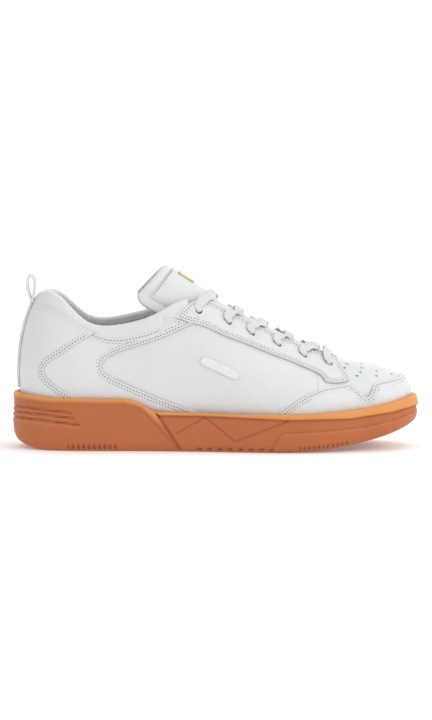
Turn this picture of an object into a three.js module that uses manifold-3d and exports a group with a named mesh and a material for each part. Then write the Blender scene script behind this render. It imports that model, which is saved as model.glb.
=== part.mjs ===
// Low-top court shoe for the right foot, in millimetres.
// +X points to the toe, +Y to the medial (inner) side, +Z up. The sole stands on z = 0 and the
// origin lies under the middle of the shoe's length and width.
//
// The upper's outer skin is one smooth form, skin(w, v): w counts ribs round the shoe from the heel
// seam along the lateral side to the toe (w = 13) and back along the medial side, and v runs from
// the feather line in the sole (v = 0) up to the collar and the throat edge (v = 4). Every layer
// is that form offset along its normal, so the pieces nest like the layers of the real upper.
import * as THREE from "three";
import { mergeVertices } from "three/addons/utils/BufferGeometryUtils.js";
import Module from "manifold-3d";

// Driving dimensions.
const SHOE_LENGTH = 298; // outsole, heel to toe
const SHOE_WIDTH = 112; // outsole at the ball
const UPPER_HEIGHT = 112; // heel collar above the ground
const GAP = 0.3; // clearance between pieces that touch
const LEATHER = 1.2; // base leather and overlays
const LINING = 0.8;
const STIFFENER = 0.8; // heel counter and toe puff
const CUP_WALL = 4.4; // outsole side wall at its middle
const CUP_LIP = 2; // outsole side wall at its top edge
const CUP_FLOOR = 5; // outsole thickness under the midsole
const CUP_EDGE = 6; // how far the tread stands in from the wall
const BOARD = 1.6; // strobel board
const INSOLE_FOAM = 4;
const INSOLE_COVER = 0.8;
const COLLAR_BAND = 7; // width of the rolled collar on the outside
const COLLAR_PAD = 4.5; // thickness of the collar foam
const COLLAR_DEPTH = 27; // how far the collar padding reaches down inside
const EYELETS = 6; // lace holes on each side
const HOLE_RADIUS = 2.6;
const HOLE_INSET = 11; // hole centre to throat edge
const RING_RADIUS = 4.4; // ring of the top eyelet
const LACE_WIDTH = 7.6;
const LACE_THICKNESS = 1.5;
const LACE_BUNCHED = 3.6; // width of the lace inside a hole
const AGLET_RADIUS = 1.6;
const AGLET_LENGTH = 20;
const TONGUE_FACE = 1.2;
const TONGUE_FOAM = 3.4;
const TONGUE_LINING = 0.8;
const LOOP_WIDTH = 12; // webbing of the pull loop and the heel strip
const WEBBING = 1.2;
const TREAD_DEPTH = 1.6;
const SERRATION = 1.4; // depth of the small grooves along the foot of the wall

// The sample last, whose ribs are drawn at these sizes and graded to the driving dimensions.
const SAMPLE = { length: 298, width: 119.5, height: 112 };
const gradeX = SHOE_LENGTH / SAMPLE.length;
const gradeY = SHOE_WIDTH / SAMPLE.width;
const gradeZ = UPPER_HEIGHT / SAMPLE.height;
const graded = (x, y, z) => new THREE.Vector3(x * gradeX, y * gradeY, z * gradeZ);

// Ribs from the heel seam to the toe, each at five heights: feather, just above the sole, middle,
// upper and top edge. Those of the medial side are listed from heel to toe too.
const HEEL_RIB = [[-138, 0, 24], [-140.8, 0, 44], [-140.5, 0, 70], [-136, 0, 93], [-128.5, 0, 112]];
const LATERAL_RIBS = [
  [[-129, -22, 24], [-131, -25, 45], [-130, -24, 70], [-126.5, -19.5, 92], [-121.5, -15.5, 113]],
  [[-108, -32, 24], [-108, -35.5, 43], [-107.5, -34.5, 68], [-106, -29, 88], [-108, -25, 105]],
  [[-85, -33.5, 24], [-84, -37, 41], [-82, -36, 60], [-81, -33, 77], [-88, -30.5, 90.5]],
  [[-58, -34, 23], [-57, -38, 39], [-56, -37.5, 57], [-57, -35.5, 74], [-62, -33, 91]],
  [[-33, -35.5, 20.5], [-32, -40, 35], [-32, -40, 56], [-34, -37, 79], [-40, -33.5, 99]],
  [[-8, -38, 18], [-8, -43, 33], [-9, -42.5, 57], [-12, -35, 85], [-17, -24, 111]],
  [[18, -43.5, 15], [17, -48, 31], [15, -46, 54], [9, -34, 80], [4, -16.5, 104]],
  [[42, -47.5, 14], [41, -52, 30.5], [39, -48.5, 49], [34, -35, 70], [28, -15.5, 91.5]],
  [[65, -48, 14.5], [65, -52, 31], [64, -48.5, 45], [59, -35, 61], [52, -14.5, 80.5]],
  [[86, -44.5, 17], [88, -48, 33], [86, -45, 43], [81, -33, 54], [74, -12.5, 70.5]],
  [[106, -36.5, 20.5], [109, -39, 36], [107, -36, 46], [100, -24, 56], [86, -8, 66.8]],
  [[123, -28, 24], [128, -30, 39], [125.5, -27.5, 49], [113.5, -17, 58], [89, -4, 65.9]],
];
const TOE_RIB = [[134, 3, 26.5], [142, 3.5, 41], [138, 3.5, 52], [123, 2, 59.5], [90, 0, 65.2]];
const MEDIAL_RIBS = [
  [[-129, 21.5, 24], [-131, 24.5, 45], [-130, 23.5, 70], [-126.5, 19.5, 92], [-121.5, 15.5, 113]],
  [[-108, 31, 24], [-108, 34.5, 43], [-107.5, 34, 68], [-106, 29, 88], [-108, 25, 106]],
  [[-84, 31.5, 24], [-83, 35.5, 41], [-81, 35.5, 60], [-81, 33, 78], [-88, 30.5, 92]],
  [[-57, 29.5, 23], [-56, 34.5, 39], [-56, 36, 57], [-57, 35, 75], [-62, 33, 93.5]],
  [[-31, 28.5, 20.5], [-31, 34.5, 36], [-32, 37.5, 57], [-34, 36.5, 80], [-40, 33.5, 100.5]],
  [[-6, 30.5, 18], [-7, 37, 34], [-9, 39.5, 58], [-12, 34, 86], [-17, 24, 111.5]],
  [[19, 36, 15], [18, 42, 31], [15, 43, 54], [9, 33, 80], [4, 16.5, 104]],
  [[44, 42.5, 14], [43, 48, 30.5], [40, 46.5, 49], [34, 34, 70.5], [28, 15.5, 91.5]],
  [[67, 46, 14.5], [67, 50.5, 31], [65, 47.5, 45.5], [60, 34.5, 61.5], [52, 14.5, 80.5]],
  [[88, 44.5, 17], [90, 48.5, 33], [88, 45.5, 44], [82, 33.5, 55], [74, 12.5, 70.5]],
  [[109, 38.5, 20.5], [112, 41.5, 36], [110, 38.5, 46.5], [102, 26, 56.5], [86, 8, 66.8]],
  [[126, 29, 24], [131.5, 31.5, 39], [129, 28.5, 49.5], [115.5, 18.5, 58.3], [89, 4, 65.9]],
];
const RIBS = [HEEL_RIB, ...LATERAL_RIBS, TOE_RIB, ...[...MEDIAL_RIBS].reverse()];
const TURN = RIBS.length; // w of a full turn
const TOE = TURN / 2;
const TOP = HEEL_RIB.length - 1; // v at the top edge

const rails = HEEL_RIB.map((_, level) =>
  new THREE.CatmullRomCurve3(RIBS.map((rib) => graded(...rib[level])), true, "catmullrom", 0.5));
const ribCurve = (w) => {
  const turn = ((w / TURN) % 1 + 1) % 1;
  return new THREE.CatmullRomCurve3(rails.map((rail) => rail.getPoint(turn)), false, "catmullrom", 0.5);
};
const skin = (w, v) => ribCurve(w).getPoint(THREE.MathUtils.clamp(v / TOP, 0, 1));

// Outward normal of the skin, from small steps along w and v.
const STEP = 0.02;
function skinNormal(w, v) {
  const low = Math.max(v - STEP, 0), high = Math.min(v + STEP, TOP);
  const along = skin(w + STEP, v).sub(skin(w - STEP, v));
  const up = skin(w, high).sub(skin(w, low));
  return along.cross(up).normalize();
}
const layer = (w, v, offset) => skin(w, v).addScaledVector(skinNormal(w, v), offset);

// v of the point that lies a given distance below the top edge, measured along the rib.
function vBelowTop(w, distance) {
  const rib = ribCurve(w);
  let v = TOP, last = rib.getPoint(1), walked = 0;
  while (walked < distance && v > 0) {
    v -= STEP;
    const next = rib.getPoint(v / TOP);
    walked += next.distanceTo(last);
    last = next;
  }
  return v;
}

// Share of the rolled collar at a rib: 1 round the heel and collar, 0 along the throat.
const COLLAR_END = 5.8; // rib where the collar gives way to the eyestay
const fromHeel = (w) => Math.min(((w % TURN) + TURN) % TURN, TURN - (((w % TURN) + TURN) % TURN));
const collarShare = (w) => 1 - THREE.MathUtils.smoothstep(fromHeel(w), COLLAR_END - 0.5, COLLAR_END + 0.7);
const leatherTop = (w) => vBelowTop(w, COLLAR_BAND * collarShare(w));

// ---- Solids -------------------------------------------------------------------------------------

const wasm = await Module();
wasm.setup();

function solidOf(geometry) {
  const bare = geometry.clone();
  bare.deleteAttribute("normal");
  bare.deleteAttribute("uv");
  const merged = mergeVertices(bare, 1e-4);
  return new wasm.Manifold(new wasm.Mesh({
    numProp: 3,
    vertProperties: new Float32Array(merged.attributes.position.array),
    triVerts: new Uint32Array(merged.index.array),
  }));
}

function geometryOf(solid) {
  const mesh = solid.getMesh();
  const geometry = new THREE.BufferGeometry();
  geometry.setAttribute("position", new THREE.BufferAttribute(new Float32Array(mesh.vertProperties), 3));
  geometry.setIndex(new THREE.BufferAttribute(new Uint32Array(mesh.triVerts), 1));
  geometry.computeVertexNormals();
  return geometry;
}

// A closed body through rings of equal count. Open ends are closed by the faces given for one ring;
// a closed sweep joins its last ring to its first. The second half of a sheet's ring runs the other
// way, so its faces are split along the other diagonal and both sides of the sheet have the same facets.
function loft(rings, capFaces, turned = Infinity) {
  const count = rings[0].length;
  const index = [];
  const last = capFaces ? rings.length - 1 : rings.length;
  for (let r = 0; r < last; r++) {
    const here = r * count, next = ((r + 1) % rings.length) * count;
    for (let i = 0; i < count; i++) {
      const j = (i + 1) % count;
      if (i < turned) index.push(here + i, here + j, next + j, here + i, next + j, next + i);
      else index.push(here + i, here + j, next + i, here + j, next + j, next + i);
    }
  }
  const end = (rings.length - 1) * count;
  for (const [a, b, c] of capFaces ?? []) index.push(c, b, a, end + a, end + b, end + c);
  const geometry = new THREE.BufferGeometry();
  geometry.setAttribute("position", new THREE.Float32BufferAttribute(rings.flat().flatMap((p) => p.toArray()), 3));
  geometry.setIndex(index);
  const solid = solidOf(geometry);
  if (solid.volume() > 0) return solid;
  for (let i = 0; i < index.length; i += 3) [index[i + 1], index[i + 2]] = [index[i + 2], index[i + 1]];
  geometry.setIndex(index);
  return solidOf(geometry);
}

// End faces of a ring whose outline is convex: a fan, or pairs across it for a loop round the shoe.
const fanFaces = (count) => Array.from({ length: count - 2 }, (_, i) => [0, i + 1, i + 2]);
function crossFaces(count) {
  const faces = [];
  for (let i = 0; i < count / 2; i++) {
    const j = (count - i) % count, nextJ = count - i - 1;
    if (i > 0) faces.push([i, i + 1, j]);
    if (i + 1 < nextJ) faces.push(i > 0 ? [i + 1, nextJ, j] : [0, i + 1, nextJ]);
  }
  return faces;
}

// A sheet of the upper: the skin between two ribs and two heights, thickened between two offsets.
// bottom, top, inner and outer may be numbers or functions of w (and v).
const valueAt = (value, w, v) => (typeof value === "function" ? value(w, v) : value);
function sheet({ from, to, bottom = 0, top = leatherTop, inner, outer, ribs, rows }) {
  const whole = to - from >= TURN;
  const rings = [];
  for (let i = 0; i <= (whole ? ribs - 1 : ribs); i++) {
    const w = from + ((to - from) * i) / ribs;
    const low = valueAt(bottom, w), high = valueAt(top, w);
    const heights = Array.from({ length: rows + 1 }, (_, k) => low + ((high - low) * k) / rows);
    rings.push([
      ...heights.map((v) => layer(w, v, valueAt(outer, w, v))),
      ...heights.reverse().map((v) => layer(w, v, valueAt(inner, w, v))),
    ]);
  }
  const strip = [];
  for (let k = 0; k < rows; k++) {
    const other = 2 * rows + 1 - k;
    strip.push([k, k + 1, other], [k + 1, other - 1, other]);
  }
  return loft(rings, whole ? null : strip, rows + 1);
}

// A prism whose outline is drawn in the side view, from y = near to y = far.
const REACH = 90;
function sidePrism(points, near = -REACH, far = REACH) {
  const shape = new THREE.Shape(points.map(([x, z]) => new THREE.Vector2(x * gradeX, z * gradeZ)));
  const geometry = new THREE.ExtrudeGeometry(shape, { depth: far - near, bevelEnabled: false });
  geometry.rotateX(Math.PI / 2);
  geometry.translate(0, far, 0);
  return solidOf(geometry);
}
const lateralPrism = (points) => sidePrism(points, -REACH, -GAP / 2);
const medialPrism = (points) => sidePrism(points, GAP / 2, REACH);

const largest = (solid) => solid.decompose().sort((a, b) => b.volume() - a.volume())[0];

const shoe = new THREE.Group();
shoe.name = "court_shoe";
function add(name, solid, finish) {
  const material = new THREE.MeshStandardMaterial(finish);
  const mesh = new THREE.Mesh(geometryOf(solid), material);
  mesh.name = name;
  shoe.add(mesh);
}

const WHITE_LEATHER = { color: 0xeceded, roughness: 0.45, metalness: 0 };
const WHITE_LINING = { color: 0xe4e5e6, roughness: 0.8, metalness: 0 };
const WHITE_WEBBING = { color: 0xeeeff0, roughness: 0.85, metalness: 0 };
const GUM_RUBBER = { color: 0xc87038, roughness: 0.5, metalness: 0 };
const FOAM = { color: 0xd8d4c8, roughness: 0.9, metalness: 0 };
const BOARD_FINISH = { color: 0xcfc8b8, roughness: 0.9, metalness: 0 };
const WHITE_PLASTIC = { color: 0xf2f3f3, roughness: 0.35, metalness: 0 };
const GOLD_FOIL = { color: 0xc9a24a, roughness: 0.35, metalness: 0.8 };

// ---- Offsets of the layers from the skin, negative inwards ----------------------------------------

const BASE = { outer: 0, inner: -LEATHER };
const stiffenerOuter = BASE.inner - GAP;
const STIFF = { outer: stiffenerOuter, inner: stiffenerOuter - STIFFENER };
const liningOuter = STIFF.inner - GAP;
const LINED = { outer: liningOuter, inner: liningOuter - LINING };
const OVERLAY = { inner: GAP, outer: GAP + LEATHER };
const SECOND = { inner: OVERLAY.outer + GAP, outer: OVERLAY.outer + GAP + LEATHER };
const STRIP = { inner: SECOND.outer + GAP, outer: SECOND.outer + GAP + WEBBING };
const cupInner = SECOND.outer + GAP;

// ---- Sole -----------------------------------------------------------------------------------------

const SOLE_RIBS = 64;
const SPRING_START = 50; // where the toe starts to rise
const TOE_SPRING = 0.0019; // rise per square millimetre past it
const ground = (x) => TOE_SPRING * Math.max(x - SPRING_START * gradeX, 0) ** 2;
const solePoint = (w, offset, z) => {
  const point = layer(w, 1, offset);
  point.z = z(point, w);
  return point;
};

// Height of the cup's top edge: high round the heel, then a slope down to the forefoot.
const LIP_LINE = [[-150, 42], [-118, 39.2], [-65, 38.6], [-57, 36.8], [-46, 30.2], [-40, 29.2],
  [15, 28.2], [66, 28.3], [90, 29.6], [108, 31.5], [126, 34.5], [141, 37.5], [152, 39.5]];
function heightOn(line, x) {
  const place = x / gradeX;
  const i = Math.max(line.findIndex(([px]) => px > place), 1);
  const [x0, z0] = line[i - 1], [x1, z1] = line[i];
  return (z0 + ((z1 - z0) * THREE.MathUtils.clamp((place - x0) / (x1 - x0), 0, 1))) * gradeZ;
}
const lip = (x) => heightOn(LIP_LINE, x);
const featherHeight = (w) => skin(w, 0).z;
const boardTop = (w) => featherHeight(w) + BOARD;
const midsoleTop = (w) => featherHeight(w) - GAP;
const cupFloor = (p) => ground(p.x) + CUP_FLOOR;

const soleRing = (offset, z) =>
  Array.from({ length: SOLE_RIBS }, (_, i) => solePoint((TURN * i) / SOLE_RIBS, offset, z));
const soleBody = (rings) => loft(rings, crossFaces(SOLE_RIBS));

const wallFoot = cupInner + CUP_WALL - CUP_EDGE * 0.25;
const wallMiddle = cupInner + CUP_WALL;
const lipOuter = cupInner + CUP_LIP;
const WALL_RISE = 12; // height of the wall's fullest line above the ground
function cupSolid() {
  const share = (k) => (p) => ground(p.x) + WALL_RISE + (lip(p.x) - ground(p.x) - WALL_RISE) * k;
  return soleBody([
    soleRing(wallFoot - CUP_EDGE, (p) => ground(p.x)),
    soleRing(wallFoot - 1, (p) => ground(p.x) + 1.6),
    soleRing(wallMiddle - 0.8, (p) => ground(p.x) + 5.5),
    soleRing(wallMiddle, share(0)),
    soleRing(wallMiddle - 0.7, share(0.6)),
    soleRing(lipOuter, (p) => lip(p.x)),
    soleRing(cupInner, (p) => lip(p.x)),
    soleRing(cupInner, cupFloor),
  ]);
}

// Grooves across the tread and small serrations along the foot of the wall.
const TREAD_PITCH = 17;
const TREAD_GROOVE = 3;
const TREAD_SPAN = [-112, 46];
const GROOVE_WIDTH = 1.1;
const SERRATION_PITCH = 6.5;
const SERRATION_SPANS = [[-97, -57], [63, 103]];
function boxAt(sizeX, sizeY, sizeZ, x, y, z, turn = 0) {
  const geometry = new THREE.BoxGeometry(sizeX, sizeY, sizeZ);
  geometry.rotateZ(turn);
  geometry.translate(x, y, z);
  return solidOf(geometry);
}
function treadCuts() {
  const cuts = [];
  const half = SHOE_WIDTH / 2 - 14;
  for (let x = TREAD_SPAN[0] * gradeX; x <= TREAD_SPAN[1] * gradeX; x += TREAD_PITCH) {
    for (const side of [-1, 1]) {
      cuts.push(boxAt(TREAD_GROOVE, half - 8, 2 * TREAD_DEPTH, x, (side * half) / 2, 0, side * 0.5));
    }
  }
  return cuts;
}
function serrationCuts() {
  const cuts = [];
  for (const [start, end] of SERRATION_SPANS) {
    for (let x = start * gradeX; x <= end * gradeX; x += SERRATION_PITCH) {
      for (const side of [-1, 1]) {
        const w = sideRib(x, side);
        const foot = layer(w, 1, wallMiddle);
        cuts.push(boxAt(GROOVE_WIDTH, 2 * SERRATION + 2, 11, x, foot.y + side, ground(x) + 1.5));
      }
    }
  }
  return cuts;
}
// The rib whose foot stands at x, on the lateral (-1) or medial (1) side.
function sideRib(x, side) {
  let low = 0, high = TOE;
  for (let i = 0; i < 30; i++) {
    const middle = (low + high) / 2;
    const w = side < 0 ? middle : TURN - middle;
    if (skin(w, 1).x < x) low = middle;
    else high = middle;
  }
  return side < 0 ? low : TURN - low;
}

const cut = (solid, cuts) => cuts.reduce((left, tool) => left.subtract(tool), solid);
add("outsole_cup", cut(cupSolid(), [...treadCuts(), ...serrationCuts()]), GUM_RUBBER);

const plate = (offset, bottom, top) => soleBody([soleRing(offset, bottom), soleRing(offset, top)]);
const byRib = (height) => (_, w) => height(w);
add("midsole_foam", plate(cupInner - GAP, (p) => cupFloor(p) + GAP, byRib(midsoleTop)), FOAM);

const feather = (offset, z) => Array.from({ length: SOLE_RIBS }, (_, i) => {
  const w = (TURN * i) / SOLE_RIBS;
  const point = layer(w, 0, offset);
  point.z = z(w);
  return point;
});
const boardOffset = LINED.inner - 2 * GAP;
const board = soleBody([feather(boardOffset, featherHeight), feather(boardOffset, boardTop)]);
add("strobel_board", board, BOARD_FINISH);

const foamBase = (w) => boardTop(w) + GAP;
const foamTop = (w) => foamBase(w) + INSOLE_FOAM;
const coverBase = (w) => foamTop(w) + GAP;
const coverTop = (w) => coverBase(w) + INSOLE_COVER;
const insoleOffset = LINED.inner - 1;
add("insole_foam", soleBody([feather(insoleOffset, foamBase), feather(insoleOffset, foamTop)]), FOAM);
add("insole_cover", soleBody([feather(insoleOffset, coverBase), feather(insoleOffset, coverTop)]),
  WHITE_LINING);

// ---- Lacing: where the holes lie and the route of the lace -----------------------------------------

// Ribs of the holes, from the top pair to the toe.
const HOLE_RIBS = [6.15, 10.5];
const holeRib = (k) => HOLE_RIBS[0] + ((HOLE_RIBS[1] - HOLE_RIBS[0]) * (k - 1)) / (EYELETS - 1);
const onSide = (w, side) => (side < 0 ? w : TURN - w);
const holeV = (w) => vBelowTop(w, HOLE_INSET);
function hole(k, side) {
  const w = onSide(holeRib(k), side);
  const v = holeV(w);
  const toToe = skin(w - side * 0.1, v).sub(skin(w + side * 0.1, v)).normalize();
  return { at: skin(w, v), normal: skinNormal(w, v), toToe };
}
function edge(k, side, offset) {
  const w = onSide(holeRib(k), side);
  const toToe = skin(w - side * 0.1, TOP).sub(skin(w + side * 0.1, TOP)).normalize();
  return { at: layer(w, TOP - 0.05, offset), toToe };
}

const rod = (radius, from, to) => {
  const geometry = new THREE.CylinderGeometry(radius, radius, from.distanceTo(to), 10);
  const axis = to.clone().sub(from).normalize();
  geometry.applyQuaternion(new THREE.Quaternion().setFromUnitVectors(new THREE.Vector3(0, 1, 0), axis));
  geometry.translate(...from.clone().add(to).multiplyScalar(0.5).toArray());
  return solidOf(geometry);
};
const holeCuts = [];
for (const side of [-1, 1]) {
  for (let k = 1; k <= EYELETS; k++) {
    const { at, normal } = hole(k, side);
    const reach = (depth) => at.clone().addScaledVector(normal, depth);
    holeCuts.push(rod(HOLE_RADIUS, reach(-9), reach(8)));
  }
}

// Ridge of the tongue from its root under the vamp to its tip. Across it the tongue is an arch with a
// flat wing on each side.
const TONGUE_RIDGE = [[97, 55], [86, 64], [74.4, 72.4], [58, 79.6], [39, 88.8], [20.7, 98.2], [4.5, 106.6],
  [-4.6, 113.4], [-15.8, 121.4], [-28, 129.4], [-36.5, 135]];
const ridge = new THREE.CatmullRomCurve3(TONGUE_RIDGE.map(([x, z]) => graded(x, 1, z)), false, "centripetal");
const TONGUE_HALF_WIDTH = [17, 40]; // at the root and at the tip
const TONGUE_RADIUS = [13, 20.5]; // of its arch
const TONGUE_TURN = [0.9, 1.4]; // angle where the arch gives way to the wings
const FREE_FROM = [0.62, 0.85]; // share of its length over which it opens out
function tonguePoint(t, across, depth) {
  const at = ridge.getPointAt(t);
  const tangent = ridge.getTangentAt(t);
  const up = new THREE.Vector3(tangent.z, 0, -tangent.x);
  if (up.z < 0) up.negate();
  const open = THREE.MathUtils.smoothstep(t, ...FREE_FROM);
  const radius = THREE.MathUtils.lerp(...TONGUE_RADIUS, open);
  const turn = THREE.MathUtils.lerp(...TONGUE_TURN, open);
  const angle = THREE.MathUtils.clamp(across / radius, -turn, turn);
  const wing = across - angle * radius;
  const rise = (radius - depth) * Math.cos(angle) - radius - Math.abs(wing) * Math.sin(turn);
  const sideways = (radius - depth) * Math.sin(angle) + wing * Math.cos(turn);
  return at.clone().addScaledVector(up, rise).add(new THREE.Vector3(0, sideways, 0));
}
const ridgeAt = (x) => {
  let low = 0, high = 1;
  for (let i = 0; i < 30; i++) {
    const middle = (low + high) / 2;
    if (ridge.getPointAt(middle).x > x) low = middle;
    else high = middle;
  }
  return low;
};

// The lace crosses over the tongue and drops into each hole from outside; under the eyestay it runs
// from the throat edge to the next hole. Both halves start at the bar across the lowest holes.
const LACE_LIFT = 1.1; // lace centre over the surface it lies on
const CROSS_LIFT = LACE_THICKNESS + 0.7; // how far one half passes over the other
const LOOP_RISE = 3.6; // height of the bend where the lace leaves a hole
const UNDER = LINED.inner - GAP - LACE_THICKNESS / 2 - 0.3;
const SHARE_OVER = 0.22; // where the lace crosses the throat edge, in holes past its own
const SHARE_UNDER = 0.8;
const DIVE = 3.4; // how far before the edge the lace has dropped under it

function lacePoint(position, widthDirection, width, thickness = LACE_THICKNESS) {
  return { position, widthDirection, width, thickness };
}
const bunched = [LACE_BUNCHED, LACE_THICKNESS * 1.25];
function throughHole(k, side) {
  const { at, normal, toToe } = hole(k, side);
  const inward = edge(k, side, 0).at.sub(at).normalize();
  const place = (depth, shift) => at.clone().addScaledVector(normal, depth).addScaledVector(inward, shift);
  return [
    lacePoint(place(UNDER - 0.3, 0.6), toToe, ...bunched),
    lacePoint(place(-0.5, -0.3), toToe, ...bunched),
    lacePoint(place(OVERLAY.outer + LOOP_RISE * 0.55, 0.3), toToe, ...bunched),
    lacePoint(place(OVERLAY.outer + LOOP_RISE * 0.8, 3.4), toToe, LACE_WIDTH * 0.8),
  ];
}
// From hole k on one side, over the tongue, to under the throat edge near hole k + 1 opposite.
function strand(k, side) {
  const over = edge(k + SHARE_OVER, side, OVERLAY.outer + LACE_LIFT + 2.4);
  const under = edge(k + SHARE_UNDER, -side, UNDER);
  const inward = under.at.clone().sub(hole(k + 1, -side).at).normalize();
  const dive = under.at.clone().addScaledVector(inward, DIVE);
  const half = Math.abs(over.at.y);
  const middleX = (over.at.x + under.at.x) / 2;
  const lift = LACE_LIFT + 0.4 + ((k + (side > 0 ? 1 : 0)) % 2 ? CROSS_LIFT : 0);
  const t = ridgeAt(middleX);
  const toe = ridge.getTangentAt(t).negate();
  return [
    lacePoint(over.at, over.toToe, LACE_WIDTH),
    lacePoint(tonguePoint(t, side * half * 0.45, -lift), toe, LACE_WIDTH),
    lacePoint(tonguePoint(ridgeAt(middleX + 1), -side * half * 0.2, -lift), toe, LACE_WIDTH),
    lacePoint(dive, under.toToe, LACE_WIDTH * 0.9),
    lacePoint(under.at, under.toToe, LACE_WIDTH * 0.8),
  ];
}
// Each end drops down the inner wall from the top hole and lies across the insole.
const END_V = [3, 2.2, 1.4, 0.8]; // heights of its points on the wall
const END_RUN = 16; // across the insole
const END_SPREAD = 8; // and along it, so that the two ends lie apart
function laceEnd(side) {
  const w = onSide(holeRib(1) - 0.05, side);
  const { toToe } = hole(1, side);
  const lying = coverTop(w) + AGLET_RADIUS + 4 * GAP;
  const wall = END_V.map((v) => lacePoint(layer(w, v, UNDER - 1), toToe, LACE_WIDTH * 0.7));
  const foot = layer(w, 0.4, UNDER - 3.5);
  const floor = [0, 1].map((i) => lacePoint(
    new THREE.Vector3(foot.x - side * END_SPREAD * i, foot.y - side * END_RUN * i, lying),
    new THREE.Vector3(1, 0, 0), i ? LACE_BUNCHED * 0.7 : LACE_WIDTH * 0.7));
  return [...wall, ...floor];
}
function halfLace(firstSide) {
  const points = [...laceEnd(firstSide)].reverse();
  for (let k = 1; k <= EYELETS; k++) {
    const side = k % 2 ? firstSide : -firstSide;
    points.push(...throughHole(k, side));
    if (k < EYELETS) points.push(...strand(k, side));
  }
  return points;
}
function laceRoute() {
  const bar = [-1, 0, 1].map((share) => {
    const x = skin(holeRib(EYELETS), TOP).x + 1;
    const t = ridgeAt(x);
    const edgeY = skin(holeRib(EYELETS), TOP).y * -share;
    const over = share ? edge(EYELETS + 0.1, share, OVERLAY.outer + LACE_LIFT + 2.4).at
      : tonguePoint(t, edgeY, -LACE_LIFT - 4);
    return lacePoint(over, ridge.getTangentAt(t).negate(), LACE_WIDTH * 0.9);
  });
  return [...halfLace(1), bar[0], bar[1], bar[2], ...halfLace(-1).reverse()];
}
const LACE_SIDES = 6;
const LACE_STEPS = 2; // between two points of the route
function laceSolid(extra = 0) {
  const route = laceRoute();
  const line = new THREE.CatmullRomCurve3(route.map((p) => p.position), false, "centripetal");
  const steps = (route.length - 1) * LACE_STEPS;
  const rings = [];
  for (let i = 0; i <= steps; i++) {
    const at = i / LACE_STEPS, k = Math.min(Math.floor(at), route.length - 2), f = at - k;
    const here = route[k], next = route[k + 1];
    const tangent = line.getTangent(i / steps);
    const wide = here.widthDirection.clone().lerp(next.widthDirection, f);
    wide.addScaledVector(tangent, -wide.dot(tangent)).normalize();
    const thick = tangent.clone().cross(wide).normalize();
    const halfWidth = THREE.MathUtils.lerp(here.width, next.width, f) / 2 + extra;
    const halfThickness = THREE.MathUtils.lerp(here.thickness, next.thickness, f) / 2 + extra;
    const centre = line.getPoint(i / steps);
    rings.push(Array.from({ length: LACE_SIDES }, (_, s) => {
      const angle = (2 * Math.PI * (s + 0.5)) / LACE_SIDES;
      const round = (value, power) => Math.sign(value) * Math.abs(value) ** power;
      return centre.clone().addScaledVector(wide, halfWidth * round(Math.cos(angle), 0.6))
        .addScaledVector(thick, halfThickness * round(Math.sin(angle), 0.8));
    }));
  }
  return loft(rings, fanFaces(LACE_SIDES));
}
add("lace", laceSolid(), WHITE_WEBBING);
const laceRoom = laceSolid(GAP);

for (const side of [-1, 1]) {
  const route = laceEnd(side);
  const tip = route[route.length - 1].position;
  const start = tip.clone().add(new THREE.Vector3(0, -side * 2 * GAP, 0));
  const end = start.clone().add(new THREE.Vector3(0, -side * AGLET_LENGTH, 0));
  add(side < 0 ? "aglet_lateral" : "aglet_medial", rod(AGLET_RADIUS, start, end), WHITE_PLASTIC);
}

// ---- Upper ----------------------------------------------------------------------------------------

// Side-view outlines, [x, z], of what each panel covers.
const QUARTER_FRONT = 76; // hidden seam between the quarters and the vamp
const BACK = [[-170, 5], [-170, 150]];
const HEEL_EDGE = [[-80, 92], [-86, 86.6], [-97, 79.9], [-109.3, 71.7], [-120.5, 64.2], [-123.3, 60.5],
  [-123.9, 57.2], [-121.9, 53.2], [-117.4, 49.2], [-109.3, 43.7], [-104.8, 41.5], [-92, 35], [-80, 24], [-80, 5]];
const REAR_EDGE = [[-10, 150], [-10, 94], [-17.8, 91.6], [-26, 88], [-36.1, 83.6], [-46.3, 80], [-56.5, 76.5],
  [-66.6, 73.4], [-75.8, 69.4], [-80.9, 65.6], [-82.5, 62], [-81.3, 58.3], [-76.8, 54.6], [-66.6, 50],
  [-56.5, 45.7], [-44.3, 40.6], [-32, 36.2], [-19.9, 31.5], [-8, 26], [-8, 5]];
const EYESTAY = [[-36.7, 98.6], [-26, 96], [-15.8, 92.7], [4.5, 85], [24.8, 77], [45.2, 68.7], [65.5, 60.6],
  [75.6, 56], [78.7, 53.5], [81.7, 49.8], [98, 50.4], [95, 58], [91, 63.5], [86, 70], [86, 110], [-45, 150],
  [-45, 104]];
const TOE_EDGE = [[40, 5], [44, 24], [48.2, 28.5], [54.3, 33.5], [63.4, 39.2], [73.6, 43.7], [83.8, 46],
  [98.4, 47.6], [102, 45.8], [106.1, 42.4], [110.8, 39.4], [114.2, 41.8], [116, 45.8], [118.5, 48.4],
  [126.4, 49.8], [134.6, 51], [139, 52.5], [170, 54], [170, 5]];
const FRONT = [[QUARTER_FRONT, 5], [QUARTER_FRONT, 150], [170, 150], [170, 5]];
const BEHIND_FRONT = [[-170, 5], [-170, 150], [QUARTER_FRONT - GAP, 150], [QUARTER_FRONT - GAP, 5]];

const RIB_COUNT = 44; // stations round the shoe, shared by every layer so that their facets nest
const FULL = { from: 0, to: TURN, ribs: RIB_COUNT, rows: 5 };
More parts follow.
